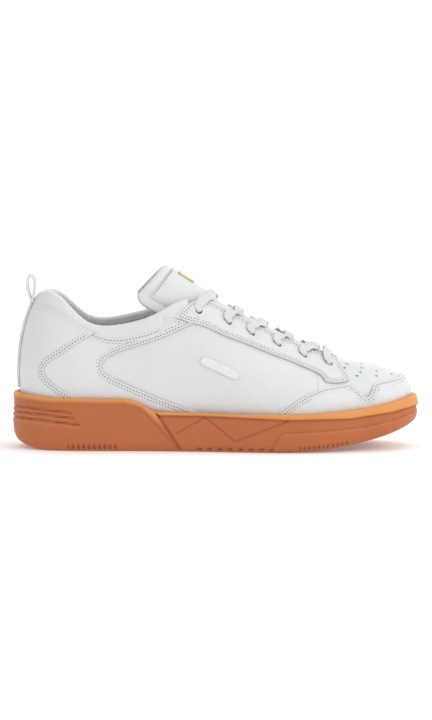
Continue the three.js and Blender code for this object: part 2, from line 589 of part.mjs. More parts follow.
// Overlays end a little above the feather line, so that they clear the midsole.
const FOOT_LINE = [[-160, 25.6], [-85, 25.6], [-58, 24.8], [-33, 22.4], [-8, 19.8], [18, 17], [42, 16],
  [65, 16.4], [86, 18.8], [106, 22.2], [122, 25.8], [134, 28], [160, 28.5]];
const aboveFeather = sidePrism([...FOOT_LINE, [160, 150], [-160, 150]]);
const baseSkin = cut(sheet({ ...FULL, ...BASE }), holeCuts);
add("quarter_lateral", baseSkin.intersect(lateralPrism(BEHIND_FRONT)), WHITE_LEATHER);
add("quarter_medial", baseSkin.intersect(medialPrism(BEHIND_FRONT)), WHITE_LEATHER);
add("vamp", baseSkin.intersect(sidePrism(FRONT)), WHITE_LEATHER);

const overlaySkin = cut(sheet({ ...FULL, ...OVERLAY }).intersect(aboveFeather), holeCuts);
const eyestayArea = { lateral: lateralPrism(EYESTAY), medial: medialPrism(EYESTAY) };
const eyestayRoom = sidePrism(EYESTAY.map(([x, z]) => [x, z - 2 * GAP]));
const rearPoints = [...BACK, ...REAR_EDGE];
for (const [name, side] of [["lateral", lateralPrism], ["medial", medialPrism]]) {
  add("eyestay_" + name, overlaySkin.intersect(eyestayArea[name]), WHITE_LEATHER);
  add("rear_quarter_" + name,
    largest(overlaySkin.intersect(side(rearPoints)).subtract(eyestayRoom)), WHITE_LEATHER);
}
add("toe_overlay", overlaySkin.intersect(sidePrism(TOE_EDGE)), WHITE_LEATHER);
const secondSkin = sheet({ ...FULL, ...SECOND }).intersect(aboveFeather);
add("heel_overlay", largest(secondSkin.intersect(sidePrism([...BACK, ...HEEL_EDGE]))), WHITE_LEATHER);

const COUNTER = [[-170, 25], [-170, 80], [-105, 72], [-78, 44], [-70, 25]];
const PUFF = [[92, 5], [96, 38], [110, 52], [170, 56], [170, 5]];
const stiffSkin = sheet({ ...FULL, ...STIFF, bottom: 0.05 });
add("heel_counter", largest(stiffSkin.intersect(sidePrism(COUNTER))), BOARD_FINISH);
add("toe_puff", largest(stiffSkin.intersect(sidePrism(PUFF))), BOARD_FINISH);

// ---- Collar ---------------------------------------------------------------------------------------

const COLLAR_STATIONS = 10; // from the heel seam to each end of the collar padding
const padded = (w) => vBelowTop(w, COLLAR_DEPTH * collarShare(w));
const CROWN_RISE = 3; // of the rolled edge over the top of the ribs
const CROWN_SIDES = 6;
const bulge = (w, v) => 0.6 * THREE.MathUtils.smoothstep(v, leatherTop(w), leatherTop(w) + 0.25);
function collarDepth(w, v) {
  const low = padded(w);
  const swell = Math.sin((Math.PI * (v - low)) / (TOP - low + 0.4) * 0.85 + 0.35);
  return -BASE.inner + GAP + LINING + COLLAR_PAD * Math.max(0.25, collarShare(w)) * Math.max(swell, 0.3);
}
// The collar's whole section, shrunk evenly by inset.
function collarSolid(inset) {
  const rows = 5;
  const rings = [];
  for (let i = -COLLAR_STATIONS; i <= COLLAR_STATIONS; i++) {
    const w = TURN + (TURN * i) / RIB_COUNT;
    const low = padded(w) + inset * 0.03;
    const heights = Array.from({ length: rows + 1 }, (_, k) => low + ((TOP - low) * k) / rows);
    const up = skin(w, TOP).sub(skin(w, TOP - 0.1)).normalize();
    const outer = (v) => bulge(w, v) - inset;
    const inner = (v) => -collarDepth(w, v) + inset;
    const middle = (outer(TOP) + inner(TOP)) / 2, half = (outer(TOP) - inner(TOP)) / 2;
    const crown = Array.from({ length: CROWN_SIDES - 1 }, (_, k) => {
      const angle = (Math.PI * (k + 1)) / CROWN_SIDES;
      return layer(w, TOP, middle + half * Math.cos(angle))
        .addScaledVector(up, (CROWN_RISE - inset) * Math.sin(angle));
    });
    rings.push([
      ...heights.map((v) => layer(w, v, outer(v))),
      ...crown,
      ...heights.reverse().map((v) => layer(w, v, inner(v))),
    ]);
  }
  const count = rings[0].length;
  const strip = [];
  for (let k = 0; k < count / 2 - 1; k++) {
    const a = k, b = k + 1, c = count - 2 - k, d = count - 1 - k;
    if (b < c) strip.push([a, b, d], [b, c, d]);
    else strip.push([a, b, d]);
  }
  return loft(rings, strip, count / 2);
}
const leatherRoom = sheet({ ...FULL, outer: OVERLAY.outer + GAP, inner: BASE.inner - GAP,
  bottom: 0, top: (w) => Math.min(TOP, leatherTop(w) + 0.03) });
const counterRoom = sheet({ ...FULL, outer: 0, inner: STIFF.inner - GAP, bottom: 0 })
  .intersect(sidePrism(COUNTER.map(([x, z]) => [x + 1, z + 1])));
const collarRoom = collarSolid(-GAP);
const roomless = (solid) => largest(solid.subtract(leatherRoom).subtract(counterRoom));
const liningSkin = cut(sheet({ ...FULL, ...LINED, bottom: 0.02 }), holeCuts).subtract(collarRoom);
add("quarter_lining_lateral", largest(liningSkin.intersect(lateralPrism(BEHIND_FRONT))), WHITE_LINING);
add("quarter_lining_medial", largest(liningSkin.intersect(medialPrism(BEHIND_FRONT))), WHITE_LINING);
add("vamp_lining", largest(liningSkin.intersect(sidePrism(FRONT))), WHITE_LINING);
add("collar_foam", roomless(collarSolid(LINING + GAP)), FOAM);
add("collar_lining", roomless(collarSolid(0).subtract(collarSolid(LINING))), WHITE_LINING);

// ---- Tongue ---------------------------------------------------------------------------------------

const TONGUE_STATIONS = 14;
const TONGUE_STEPS = 12;
const halfWidthAt = (t) => THREE.MathUtils.lerp(...TONGUE_HALF_WIDTH, Math.min(1, t / 0.8));
function tongueSolid(top, bottom, inset, from = 0, to = 1) {
  const rings = [];
  for (let i = 0; i <= TONGUE_STATIONS; i++) {
    const t = THREE.MathUtils.lerp(from, to, i / TONGUE_STATIONS);
    const round = Math.min(1, Math.sqrt(Math.max(0, 1 - ((t - 0.93) / 0.09) ** 2)));
    const half = (halfWidthAt(t) - inset) * (t > 0.93 ? 0.72 + 0.28 * round : 1);
    const across = Array.from({ length: TONGUE_STEPS + 1 }, (_, k) => -half + (2 * half * k) / TONGUE_STEPS);
    rings.push([
      ...across.map((a) => tonguePoint(t, a, top)),
      ...across.reverse().map((a) => tonguePoint(t, a, bottom)),
    ]);
  }
  const strip = [];
  for (let k = 0; k < TONGUE_STEPS; k++) {
    const other = 2 * TONGUE_STEPS + 1 - k;
    strip.push([k, k + 1, other], [k + 1, other - 1, other]);
  }
  return loft(rings, strip, TONGUE_STEPS + 1);
}
const BEND_X = -9; // where the free top of the tongue starts
const BEND_GAP = THREE.MathUtils.degToRad(9); // room to lean back
const bendT = ridgeAt(BEND_X * gradeX);
const bendAt = tonguePoint(bendT, 0, 0);
function bendWedge() {
  const tangent = ridge.getTangentAt(bendT);
  const down = new THREE.Vector2(-tangent.z, tangent.x).multiplyScalar(tangent.x > 0 ? -1 : 1);
  const along = new THREE.Vector2(tangent.x, tangent.z);
  const start = new THREE.Vector2(bendAt.x, bendAt.z);
  const deep = 45, open = Math.tan(BEND_GAP) * deep;
  const corner = (d, a) => start.clone().addScaledVector(down, d).addScaledVector(along, a);
  const points = [corner(-4, 0), corner(-4, GAP), corner(0, GAP), corner(deep, GAP + open), corner(deep, 0)];
  return sidePrism(points.map((p) => [p.x / gradeX, p.y / gradeZ]));
}
function halfSpace(ahead) {
  const tangent = ridge.getTangentAt(bendT);
  const along = new THREE.Vector2(tangent.x, tangent.z).multiplyScalar(ahead ? -1 : 1);
  const across = new THREE.Vector2(-along.y, along.x);
  const start = new THREE.Vector2(bendAt.x, bendAt.z).addScaledVector(along, ahead ? 0 : 0.01);
  const corner = (a, c) => start.clone().addScaledVector(along, a).addScaledVector(across, c);
  const points = [corner(0, -160), corner(200, -160), corner(200, 160), corner(0, 160)];
  return sidePrism(points.map((p) => [p.x / gradeX, p.y / gradeZ]));
}
const throatRoom = sheet({ ...FULL, bottom: 0.02, outer: SECOND.outer, inner: LINED.inner - GAP });
const wedge = bendWedge();
const lower = halfSpace(true), upper = halfSpace(false);
const foamStart = TONGUE_FACE + 2 * GAP;
const liningStart = foamStart + TONGUE_FOAM + 2 * GAP;
const tongueLayers = [
  ["face", 0, TONGUE_FACE, 0, WHITE_LEATHER],
  ["foam", foamStart, foamStart + TONGUE_FOAM, 3, FOAM],
  ["lining", liningStart, liningStart + TONGUE_LINING, 0, WHITE_LINING],
];
for (const [name, top, bottom, inset, finish] of tongueLayers) {
  const whole = tongueSolid(top, bottom, inset).subtract(throatRoom).subtract(collarRoom).subtract(wedge);
  add("tongue_" + name, largest(whole.intersect(lower).subtract(laceRoom)), finish);
  add("tongue_top_" + name, largest(whole.intersect(upper)), finish);
}

// ---- Heel strip, pull loop, eyelet rings and badges -----------------------------------------------

const STRIP_HALF = 0.21; // half the strip's width, in ribs
const stripSheet = sheet({ from: TURN - STRIP_HALF, to: TURN + STRIP_HALF, bottom: 1, top: 3.62, ribs: 6,
  rows: 7, ...STRIP });
add("heel_strip", stripSheet, WHITE_WEBBING);

// Loop of webbing seen from the side: a tall drop shape, narrow at its root.
const LOOP_PATH = [[-134.6, 107.5], [-136.6, 113], [-137.8, 121], [-136.6, 125.2], [-135, 126],
  [-133.4, 125.2], [-132.3, 121], [-133, 113], [-133.9, 107.5]];
function loopSolid() {
  const line = new THREE.CatmullRomCurve3(LOOP_PATH.map(([x, z]) => graded(x, 0, z)), false, "centripetal");
  const steps = 28;
  const side = (offset) => Array.from({ length: steps + 1 }, (_, i) => {
    const at = line.getPoint(i / steps), tangent = line.getTangent(i / steps);
    return [(at.x - tangent.z * offset) / gradeX, (at.z + tangent.x * offset) / gradeZ];
  });
  return sidePrism([...side(WEBBING / 2), ...side(-WEBBING / 2).reverse()], -LOOP_WIDTH / 2, LOOP_WIDTH / 2);
}
add("pull_loop", loopSolid(), WHITE_WEBBING);

const RING_THICKNESS = 1;
for (const side of [-1, 1]) {
  const { at, normal } = hole(1, side);
  const reach = (depth) => at.clone().addScaledVector(normal, depth);
  const w = onSide(holeRib(1), side);
  const patch = sheet({ from: w - 0.5, to: w + 0.5, bottom: TOP - 1.6, top: TOP - 0.1, ribs: 5, rows: 5,
    outer: OVERLAY.outer + GAP + RING_THICKNESS, inner: OVERLAY.outer + GAP });
  const ring = patch.intersect(rod(RING_RADIUS, reach(-6), reach(8))).subtract(rod(HOLE_RADIUS, reach(-9), reach(8)));
  add(side < 0 ? "eyelet_ring_lateral" : "eyelet_ring_medial", ring, WHITE_PLASTIC);
}

// A plain raised bar stitched on each quarter, level with the slope of the eyestay.
const BADGE = { x: 4, z: 61, length: 30, height: 7, slope: -0.42, thickness: 0.8 };
function badgePrism(side) {
  const points = [];
  const turn = new THREE.Vector2(), centre = new THREE.Vector2();
  for (let i = 0; i < 24; i++) {
    const angle = (2 * Math.PI * i) / 24;
    const end = Math.cos(angle) >= 0 ? 1 : -1;
    turn.set((end * (BADGE.length - BADGE.height)) / 2 + (Math.cos(angle) * BADGE.height) / 2,
      (Math.sin(angle) * BADGE.height) / 2);
    points.push(turn.clone().rotateAround(centre, BADGE.slope).add(new THREE.Vector2(BADGE.x, BADGE.z)).toArray());
  }
  return side(points);
}
const badgeSkin = sheet({ ...FULL, bottom: 1.2, top: 3.2, outer: GAP + BADGE.thickness, inner: GAP });
add("badge_lateral", badgeSkin.intersect(badgePrism(lateralPrism)), WHITE_WEBBING);
add("badge_medial", badgeSkin.intersect(badgePrism(medialPrism)), WHITE_WEBBING);

const LABEL = { from: -31, to: -22, half: 9, thickness: 0.4 };
function labelSolid() {
  const rings = [];
  for (let i = 0; i <= 3; i++) {
    const t = ridgeAt(THREE.MathUtils.lerp(LABEL.to, LABEL.from, i / 3) * gradeX);
    const across = Array.from({ length: 7 }, (_, k) => LABEL.half * (k / 3 - 1));
    rings.push([
      ...across.map((a) => tonguePoint(t, a, -GAP - LABEL.thickness)),
      ...across.reverse().map((a) => tonguePoint(t, a, -GAP)),
    ]);
  }
  const strip = [];
  for (let k = 0; k < 6; k++) strip.push([k, k + 1, 13 - k], [k + 1, 12 - k, 13 - k]);
  return loft(rings, strip);
}
add("tongue_label", labelSolid(), GOLD_FOIL);

// Stand the shoe on z = 0 over the middle of its length and width.
const bounds = new THREE.Box3().setFromObject(shoe);
const middle = bounds.getCenter(new THREE.Vector3());
for (const mesh of shoe.children) mesh.geometry.translate(-middle.x, -middle.y, -bounds.min.z);

export default shoe;
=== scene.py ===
"""Court shoe: the looks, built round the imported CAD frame. Lengths are in millimetres until a mesh is made.

The upper is one smooth form, skin(w, v): w counts ribs round the shoe (0 at the heel seam, 13 at the
toe, back along the medial side to 26) and v runs from the feather line (0) to the top edge (4).
Panels are outlines on that form, meshed and given their thickness, edges, stitching and holes.
"""

import math

import bpy
import numpy as np
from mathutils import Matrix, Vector
from mathutils.geometry import delaunay_2d_cdt


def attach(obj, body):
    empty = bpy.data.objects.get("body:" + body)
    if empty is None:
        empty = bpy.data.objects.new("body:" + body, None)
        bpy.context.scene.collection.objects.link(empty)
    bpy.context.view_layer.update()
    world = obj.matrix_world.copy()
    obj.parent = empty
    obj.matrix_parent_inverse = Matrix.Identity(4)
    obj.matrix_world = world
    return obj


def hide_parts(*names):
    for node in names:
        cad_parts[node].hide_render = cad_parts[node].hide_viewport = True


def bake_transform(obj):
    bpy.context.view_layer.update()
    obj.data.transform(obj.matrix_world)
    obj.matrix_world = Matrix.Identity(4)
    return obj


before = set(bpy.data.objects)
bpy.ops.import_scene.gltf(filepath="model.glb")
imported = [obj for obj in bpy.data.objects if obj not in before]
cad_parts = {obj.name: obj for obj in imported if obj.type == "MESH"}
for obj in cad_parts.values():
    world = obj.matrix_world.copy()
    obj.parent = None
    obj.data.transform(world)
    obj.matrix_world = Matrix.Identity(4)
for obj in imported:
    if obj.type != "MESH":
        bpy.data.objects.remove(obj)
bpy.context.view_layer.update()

MM = 0.001
SHIFT = np.array([-0.6, 1.0, 0.0])  # from the last's own origin to the frame's
GRADE_Y = 112 / 119.5
SHOE = "shoe"

# ---- The last: ribs from the heel seam to the toe, each at five heights -----------------------------

HEEL_RIB = [[-138, 0, 24], [-140.8, 0, 44], [-140.5, 0, 70], [-136, 0, 93], [-128.5, 0, 112]]
LATERAL_RIBS = [
    [[-129, -22, 24], [-131, -25, 45], [-130, -24, 70], [-126.5, -19.5, 92], [-121.5, -15.5, 113]],
    [[-108, -32, 24], [-108, -35.5, 43], [-107.5, -34.5, 68], [-106, -29, 88], [-108, -25, 105]],
    [[-85, -33.5, 24], [-84, -37, 41], [-82, -36, 60], [-81, -33, 77], [-88, -30.5, 90.5]],
    [[-58, -34, 23], [-57, -38, 39], [-56, -37.5, 57], [-57, -35.5, 74], [-62, -33, 91]],
    [[-33, -35.5, 20.5], [-32, -40, 35], [-32, -40, 56], [-34, -37, 79], [-40, -33.5, 99]],
    [[-8, -38, 18], [-8, -43, 33], [-9, -42.5, 57], [-12, -35, 85], [-17, -24, 111]],
    [[18, -43.5, 15], [17, -48, 31], [15, -46, 54], [9, -34, 80], [4, -16.5, 104]],
    [[42, -47.5, 14], [41, -52, 30.5], [39, -48.5, 49], [34, -35, 70], [28, -15.5, 91.5]],
    [[65, -48, 14.5], [65, -52, 31], [64, -48.5, 45], [59, -35, 61], [52, -14.5, 80.5]],
    [[86, -44.5, 17], [88, -48, 33], [86, -45, 43], [81, -33, 54], [74, -12.5, 70.5]],
    [[106, -36.5, 20.5], [109, -39, 36], [107, -36, 46], [100, -24, 56], [86, -8, 66.8]],
    [[123, -28, 24], [128, -30, 39], [125.5, -27.5, 49], [113.5, -17, 58], [89, -4, 65.9]],
]
TOE_RIB = [[134, 3, 26.5], [142, 3.5, 41], [138, 3.5, 52], [123, 2, 59.5], [90, 0, 65.2]]
MEDIAL_RIBS = [
    [[-129, 21.5, 24], [-131, 24.5, 45], [-130, 23.5, 70], [-126.5, 19.5, 92], [-121.5, 15.5, 113]],
    [[-108, 31, 24], [-108, 34.5, 43], [-107.5, 34, 68], [-106, 29, 88], [-108, 25, 106]],
    [[-84, 31.5, 24], [-83, 35.5, 41], [-81, 35.5, 60], [-81, 33, 78], [-88, 30.5, 92]],
    [[-57, 29.5, 23], [-56, 34.5, 39], [-56, 36, 57], [-57, 35, 75], [-62, 33, 93.5]],
    [[-31, 28.5, 20.5], [-31, 34.5, 36], [-32, 37.5, 57], [-34, 36.5, 80], [-40, 33.5, 100.5]],
    [[-6, 30.5, 18], [-7, 37, 34], [-9, 39.5, 58], [-12, 34, 86], [-17, 24, 111.5]],
    [[19, 36, 15], [18, 42, 31], [15, 43, 54], [9, 33, 80], [4, 16.5, 104]],
    [[44, 42.5, 14], [43, 48, 30.5], [40, 46.5, 49], [34, 34, 70.5], [28, 15.5, 91.5]],
    [[67, 46, 14.5], [67, 50.5, 31], [65, 47.5, 45.5], [60, 34.5, 61.5], [52, 14.5, 80.5]],
    [[88, 44.5, 17], [90, 48.5, 33], [88, 45.5, 44], [82, 33.5, 55], [74, 12.5, 70.5]],
    [[109, 38.5, 20.5], [112, 41.5, 36], [110, 38.5, 46.5], [102, 26, 56.5], [86, 8, 66.8]],
    [[126, 29, 24], [131.5, 31.5, 39], [129, 28.5, 49.5], [115.5, 18.5, 58.3], [89, 4, 65.9]],
]
RIBS = np.array([HEEL_RIB, *LATERAL_RIBS, TOE_RIB, *MEDIAL_RIBS[::-1]], dtype=float)
RIBS[:, :, 1] *= GRADE_Y
TURN = len(RIBS)
TOE = TURN / 2
TOP = RIBS.shape[1] - 1


def periodic_curvature(values):
    """Second derivatives of the closed cubic spline through values at whole numbers."""
    n = len(values)
    system = 4 * np.eye(n) + np.roll(np.eye(n), 1, axis=0) + np.roll(np.eye(n), -1, axis=0)
    bends = np.roll(values, -1, axis=0) - 2 * values + np.roll(values, 1, axis=0)
    return np.linalg.solve(system, 6 * bends.reshape(n, -1)).reshape(values.shape)


def natural_curvature(n):
    """Matrix from n values at whole numbers to the second derivatives of their natural spline."""
    system, bends = np.eye(n), np.zeros((n, n))
    for i in range(1, n - 1):
        system[i, i - 1:i + 2] = 1, 4, 1
        bends[i, i - 1:i + 2] = 6, -12, 6
    return np.linalg.solve(system, bends)


RIB_BEND = periodic_curvature(RIBS)
LEVEL_BEND = natural_curvature(TOP + 1)


def spline(values, bends, i, j, f):
    a, b = 1 - f, f
    return a * values[i] + b * values[j] + ((a**3 - a) * bends[i] + (b**3 - b) * bends[j]) / 6


def skin(w, v):
    """Points of the form. v above the top edge goes straight on."""
    w, v = np.broadcast_arrays(np.asarray(w, float), np.asarray(v, float))
    shape = w.shape
    w, v = w.ravel() % TURN, v.ravel()
    i = np.floor(w).astype(int) % TURN
    levels = spline(RIBS, RIB_BEND, i, (i + 1) % TURN, (w - np.floor(w))[:, None, None])
    bends = np.einsum("ab,nbc->nac", LEVEL_BEND, levels)
    inside = np.clip(v, 0, TOP)
    k = np.minimum(inside.astype(int), TOP - 1)
    f, n = (inside - k)[:, None], np.arange(len(w))
    a, b = 1 - f, f
    low, high, bend_low, bend_high = levels[n, k], levels[n, k + 1], bends[n, k], bends[n, k + 1]
    point = a * low + b * high + ((a**3 - a) * bend_low + (b**3 - b) * bend_high) / 6
    slope = high - low + ((1 - 3 * a**2) * bend_low + (3 * b**2 - 1) * bend_high) / 6
    return (point + slope * (v - inside)[:, None]).reshape(*shape, 3)


def slopes(w, v, step=0.02):
    w, v = np.broadcast_arrays(np.asarray(w, float), np.asarray(v, float))
    return ((skin(w + step, v) - skin(w - step, v)) / (2 * step),
            (skin(w, v + step) - skin(w, v - step)) / (2 * step))


def unit(vectors):
    return vectors / np.maximum(np.linalg.norm(vectors, axis=-1, keepdims=True), 1e-9)


def walked_along(points):
    """Distance walked along a row of points, 0 at the first."""
    return np.concatenate([[0], np.cumsum(np.linalg.norm(np.diff(points, axis=0), axis=1))])


def sample(at, walked, points):
    """Points where the distance walked along the row is at."""
    return np.stack([np.interp(at, walked, column) for column in points.T], axis=1)


def normal(w, v):
    along, up = slopes(w, np.minimum(v, TOP))
    return unit(np.cross(along, up))


def layer(w, v, offset):
    return skin(w, v) + normal(w, v) * np.asarray(offset)[..., None]


def smoothstep(x, low, high):
    t = np.clip((np.asarray(x, float) - low) / (high - low), 0, 1)
    return t * t * (3 - 2 * t)


def below_top(w, distance):
    """v of the point that lies a distance below the top edge along the rib, for one w."""
    heights = np.linspace(TOP, 0, 161)
    points = skin(w, heights)
    walked = walked_along(points)
    return float(np.interp(distance, walked, heights))


COLLAR_BAND, COLLAR_DEPTH, COLLAR_END = 7.0, 27.0, 5.8
COLLAR_PAD = 4.5
COLLAR_STEPS = 420


def collar_share(w):
    from_heel = np.minimum(np.asarray(w) % TURN, TURN - np.asarray(w) % TURN)
    return 1 - smoothstep(from_heel, COLLAR_END - 0.5, COLLAR_END + 0.7)


FINE_W = np.linspace(0, TURN, 521)
LEATHER_TOP = np.array([below_top(w, COLLAR_BAND * collar_share(w)) for w in FINE_W])
PADDED = np.array([below_top(w, COLLAR_DEPTH * collar_share(w)) for w in FINE_W])


def leather_top(w):
    return np.interp(np.asarray(w) % TURN, FINE_W, LEATHER_TOP)


def padded_to(w):
    return np.interp(np.asarray(w) % TURN, FINE_W, PADDED)


def locate(points, side):
    """(w, v) of side-view points [x, z] on the lateral (-1) or medial (1) side."""
    points = np.asarray(points, float)
    ws = np.linspace(0, TOE, 131) if side < 0 else np.linspace(TOE, TURN, 131)
    grid_w, grid_v = np.meshgrid(ws, np.linspace(0, TOP, 81), indexing="ij")
    flat = skin(grid_w, grid_v).reshape(-1, 3)[:, [0, 2]]
    found = []
    for point in points:
        k = int(np.argmin(((flat - point) ** 2).sum(axis=1)))
        w, v = grid_w.ravel()[k], grid_v.ravel()[k]
        for _ in range(6):
            along, up = slopes(w, v)
            miss = point - skin(w, v)[[0, 2]]
            jacobian = np.array([[along[0], up[0]], [along[2], up[2]]])
            step = np.linalg.lstsq(jacobian, miss, rcond=0.05)[0]
            w, v = w + np.clip(step[0], -0.2, 0.2), np.clip(v + np.clip(step[1], -0.2, 0.2), 0, TOP)
        found.append((w, v))
    return np.array(found)


# ---- Meshes ---------------------------------------------------------------------------------------

def make(name, points, faces, material, body=SHOE, shade=None, sharp=42, extra=None):
    """A mesh object from points in millimetres and faces of three or four corners."""
    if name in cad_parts:
        name += "_surface"
    mesh = bpy.data.meshes.new(name)
    points = (np.asarray(points, float) + SHIFT) * MM
    faces = [np.asarray(f, dtype=np.int32) for f in (faces if isinstance(faces, list) else [faces])]
    corners = np.concatenate([f.ravel() for f in faces])
    sizes = np.concatenate([np.full(len(f), f.shape[1], dtype=np.int32) for f in faces])
    mesh.vertices.add(len(points))
    mesh.vertices.foreach_set("co", points.astype(np.float32).ravel())
    mesh.loops.add(len(corners))
    mesh.loops.foreach_set("vertex_index", corners)
    mesh.polygons.add(len(sizes))
    mesh.polygons.foreach_set("loop_start", np.concatenate([[0], np.cumsum(sizes)[:-1]]).astype(np.int32))
    mesh.polygons.foreach_set("use_smooth", np.ones(len(sizes), dtype=bool))
    mesh.update(calc_edges=True)
    mesh.validate()
    mesh.set_sharp_from_angle(angle=math.radians(sharp))
    layers = {"shade": shade, **(extra or {})}
    for key, values in layers.items():
        if values is not None:
            attribute = mesh.attributes.new(key, "FLOAT", "POINT")
            attribute.data.foreach_set("value", np.asarray(values, dtype=np.float32).ravel())
    mesh.materials.append(material)
    piece = bpy.data.objects.new(name, mesh)
    bpy.context.scene.collection.objects.link(piece)
    if body:
        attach(piece, body)
    return piece


def stand_for(piece, finish, *nodes):
    """Hides the CAD nodes that the piece replaces."""
    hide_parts(*nodes)


def grid_faces(rows, columns, closed=False):
    """Quads of a grid of rows x columns points; closed joins the last column to the first."""
    r, c = np.meshgrid(np.arange(rows - 1), np.arange(columns if closed else columns - 1), indexing="ij")
    d = (c + 1) % columns
    return np.stack([r * columns + c, r * columns + d, (r + 1) * columns + d, (r + 1) * columns + c],
                    axis=-1).reshape(-1, 4)


def curve(points, closed=False, spacing=0.25, tension=0.5):
    """A smooth dense path through points of any dimension, its steps spacing apart at most."""
    points = np.asarray(points, float)
    n = len(points)
    if n < 3 and not closed:
        return np.linspace(points[0], points[1], 33)
    padded = (np.concatenate([points[-1:], points, points[:2]]) if closed
              else np.concatenate([[2 * points[0] - points[1]], points, [2 * points[-1] - points[-2]]]))
    pieces = []
    for i in range(n if closed else n - 1):
        p0, p1, p2, p3 = padded[i:i + 4]
        steps = max(2, int(np.ceil(np.linalg.norm(p2 - p1) / spacing)))
        t = (np.arange(steps) / steps)[:, None]
        m1, m2 = (p2 - p0) * tension, (p3 - p1) * tension
        pieces.append((2 * t**3 - 3 * t**2 + 1) * p1 + (t**3 - 2 * t**2 + t) * m1
                      + (3 * t**2 - 2 * t**3) * p2 + (t**3 - t**2) * m2)
    if not closed:
        pieces.append(points[-1:])
    return np.concatenate(pieces)


def even(path, spacing, closed=False):
    """The (w, v) path with points an even distance apart on the form."""
    path = np.asarray(path, float)
    if closed:
        path = np.concatenate([path, path[:1]])
    space = skin(path[:, 0], path[:, 1])
    walked = walked_along(space)
    count = max(3, int(round(walked[-1] / spacing)))
    at = np.linspace(0, walked[-1], count + 1)
    if closed:
        at = at[:-1]
    return sample(at, walked, path)


def across(path, closed=False):
    """(dw, dv) per millimetre to the left of the path, seen from outside the shoe."""
    space = skin(path[:, 0], path[:, 1])
    if closed:
        tangent = np.roll(space, -1, axis=0) - np.roll(space, 1, axis=0)
    else:
        tangent = np.gradient(space, axis=0)
    left = unit(np.cross(normal(path[:, 0], path[:, 1]), unit(tangent)))
    along, up = slopes(path[:, 0], np.minimum(path[:, 1], TOP))
    aa, ab, bb = (along * along).sum(1), (along * up).sum(1), (up * up).sum(1)
    la, lb = (left * along).sum(1), (left * up).sum(1)
    det = aa * bb - ab * ab
    return np.stack([(la * bb - lb * ab) / det, (lb * aa - la * ab) / det], axis=1)


def inside(points, polygon):
    x, y = points[:, 0][:, None], points[:, 1][:, None]
    x0, y0 = polygon[:, 0][None], polygon[:, 1][None]
    x1, y1 = np.roll(x0, -1, axis=1), np.roll(y0, -1, axis=1)
    crosses = (y0 > y) != (y1 > y)
    slope = (x1 - x0) / np.where(np.abs(y1 - y0) < 1e-12, 1e-12, y1 - y0)
    return ((crosses & (x < x0 + slope * (y - y0))).sum(axis=1) % 2).astype(bool)


def nearest(points, targets):
    """Distance from each point to the nearest target."""
    found = np.empty(len(points))
    for start in range(0, len(points), 1500):
        block = points[start:start + 1500]
        squared = ((block**2).sum(1)[:, None] + (targets**2).sum(1)[None] - 2 * block @ targets.T)
        found[start:start + 1500] = np.sqrt(np.maximum(squared.min(axis=1), 0))
    return found


STITCH_PITCH, STITCH_GAP = 2.3, 0.75
SEWN = []  # (piece, starts, ends, normals) of each row of stitches


def sew(piece, w, v, height):
    """Lays stitches along the points (w, v, height), broken where neighbours lie apart."""
    points, out = layer(w, v, height), normal(w, v)
    steps = np.linalg.norm(np.diff(points, axis=0), axis=1)
    breaks = np.concatenate([[0], np.where(steps > 1.5)[0] + 1, [len(points)]])
    for first, last in zip(breaks[:-1], breaks[1:]):
        run, up = points[first:last], out[first:last]
        if len(run) < 4:
            continue
        walked = walked_along(run)
        count = int((walked[-1] - 1) / STITCH_PITCH)
        if count < 2:
            continue
        pitch = (walked[-1] - 0.6) / count
        begin = 0.3 + np.arange(count) * pitch + STITCH_GAP / 2
        end = begin + pitch - STITCH_GAP
        SEWN.append((piece, sample(begin, walked, run), sample(end, walked, run), sample(begin, walked, up)))


PANEL_RINGS = (0.12, 0.3, 0.6, 1.0, 1.5, 1.9, 2.3, 2.9, 3.6, 4.0, 4.4, 5.2)
HOLE_RINGS = (0.15, 0.4, 0.9, 1.6)
PLAN_SCALE = 24.0


def undulation(points, size=1.0):
    """Slow swells of worked leather, in millimetres, from a few fixed waves."""
    x, y, z = points[:, 0], points[:, 1], points[:, 2]
    return size * (0.10 * np.sin(x / 7.3 + 1.3 * np.sin(z / 9.1)) * np.sin(z / 6.2 + y / 11)
                   + 0.07 * np.sin(x / 3.9 - z / 4.7 + 2) * np.sin(y / 5.3 + z / 8.7)
                   + 0.04 * np.sin(x / 2.1 + z / 2.9 + y / 3.3))


def circle(w, v, hole_radius, radius, turn=0.0):
    """A (w, v) circle round a hole; turn shifts its points by a share of a step."""
    along, up = slopes(np.array([w]), np.array([v]))
    count = 20 if hole_radius > 1 else 10
    angles = (np.arange(count) + turn) * 2 * math.pi / count
    return np.stack([w + radius * np.cos(angles) / np.linalg.norm(along),
                     v + radius * np.sin(angles) / np.linalg.norm(up)], axis=1)


def panel_sites(rim, inward, targets, holes, step):
    """(w, v) points inside the rim: rings along it, a staggered grid, and rings round the holes."""
    sites = []
    for distance in PANEL_RINGS:
        ring = rim + inward * distance
        ring = ring[::1 if distance < 2.5 else 2]
        space = skin(ring[:, 0], ring[:, 1])
        keep = (nearest(space, targets) > 0.9 * distance) & inside(ring, rim)
        sites.append(ring[keep])
    low, high = rim.min(axis=0), rim.max(axis=0)
    dw = step / PLAN_SCALE
    ws, vs = np.meshgrid(np.arange(low[0], high[0], dw), np.arange(low[1], high[1], dw * 1.1), indexing="ij")
    ws[:, ::2] += dw / 2
    grid = np.stack([ws.ravel(), vs.ravel()], axis=1)
    grid = grid[inside(grid, rim)]
    grid = grid[nearest(skin(grid[:, 0], grid[:, 1]), targets) > PANEL_RINGS[-1] + 0.7]
    for w, v, radius in holes:
        for reach in HOLE_RINGS:
            halo = circle(w, v, radius, radius + reach, turn=0.5)
            sites.append(halo[inside(halo, rim)])
    return [*sites, grid]


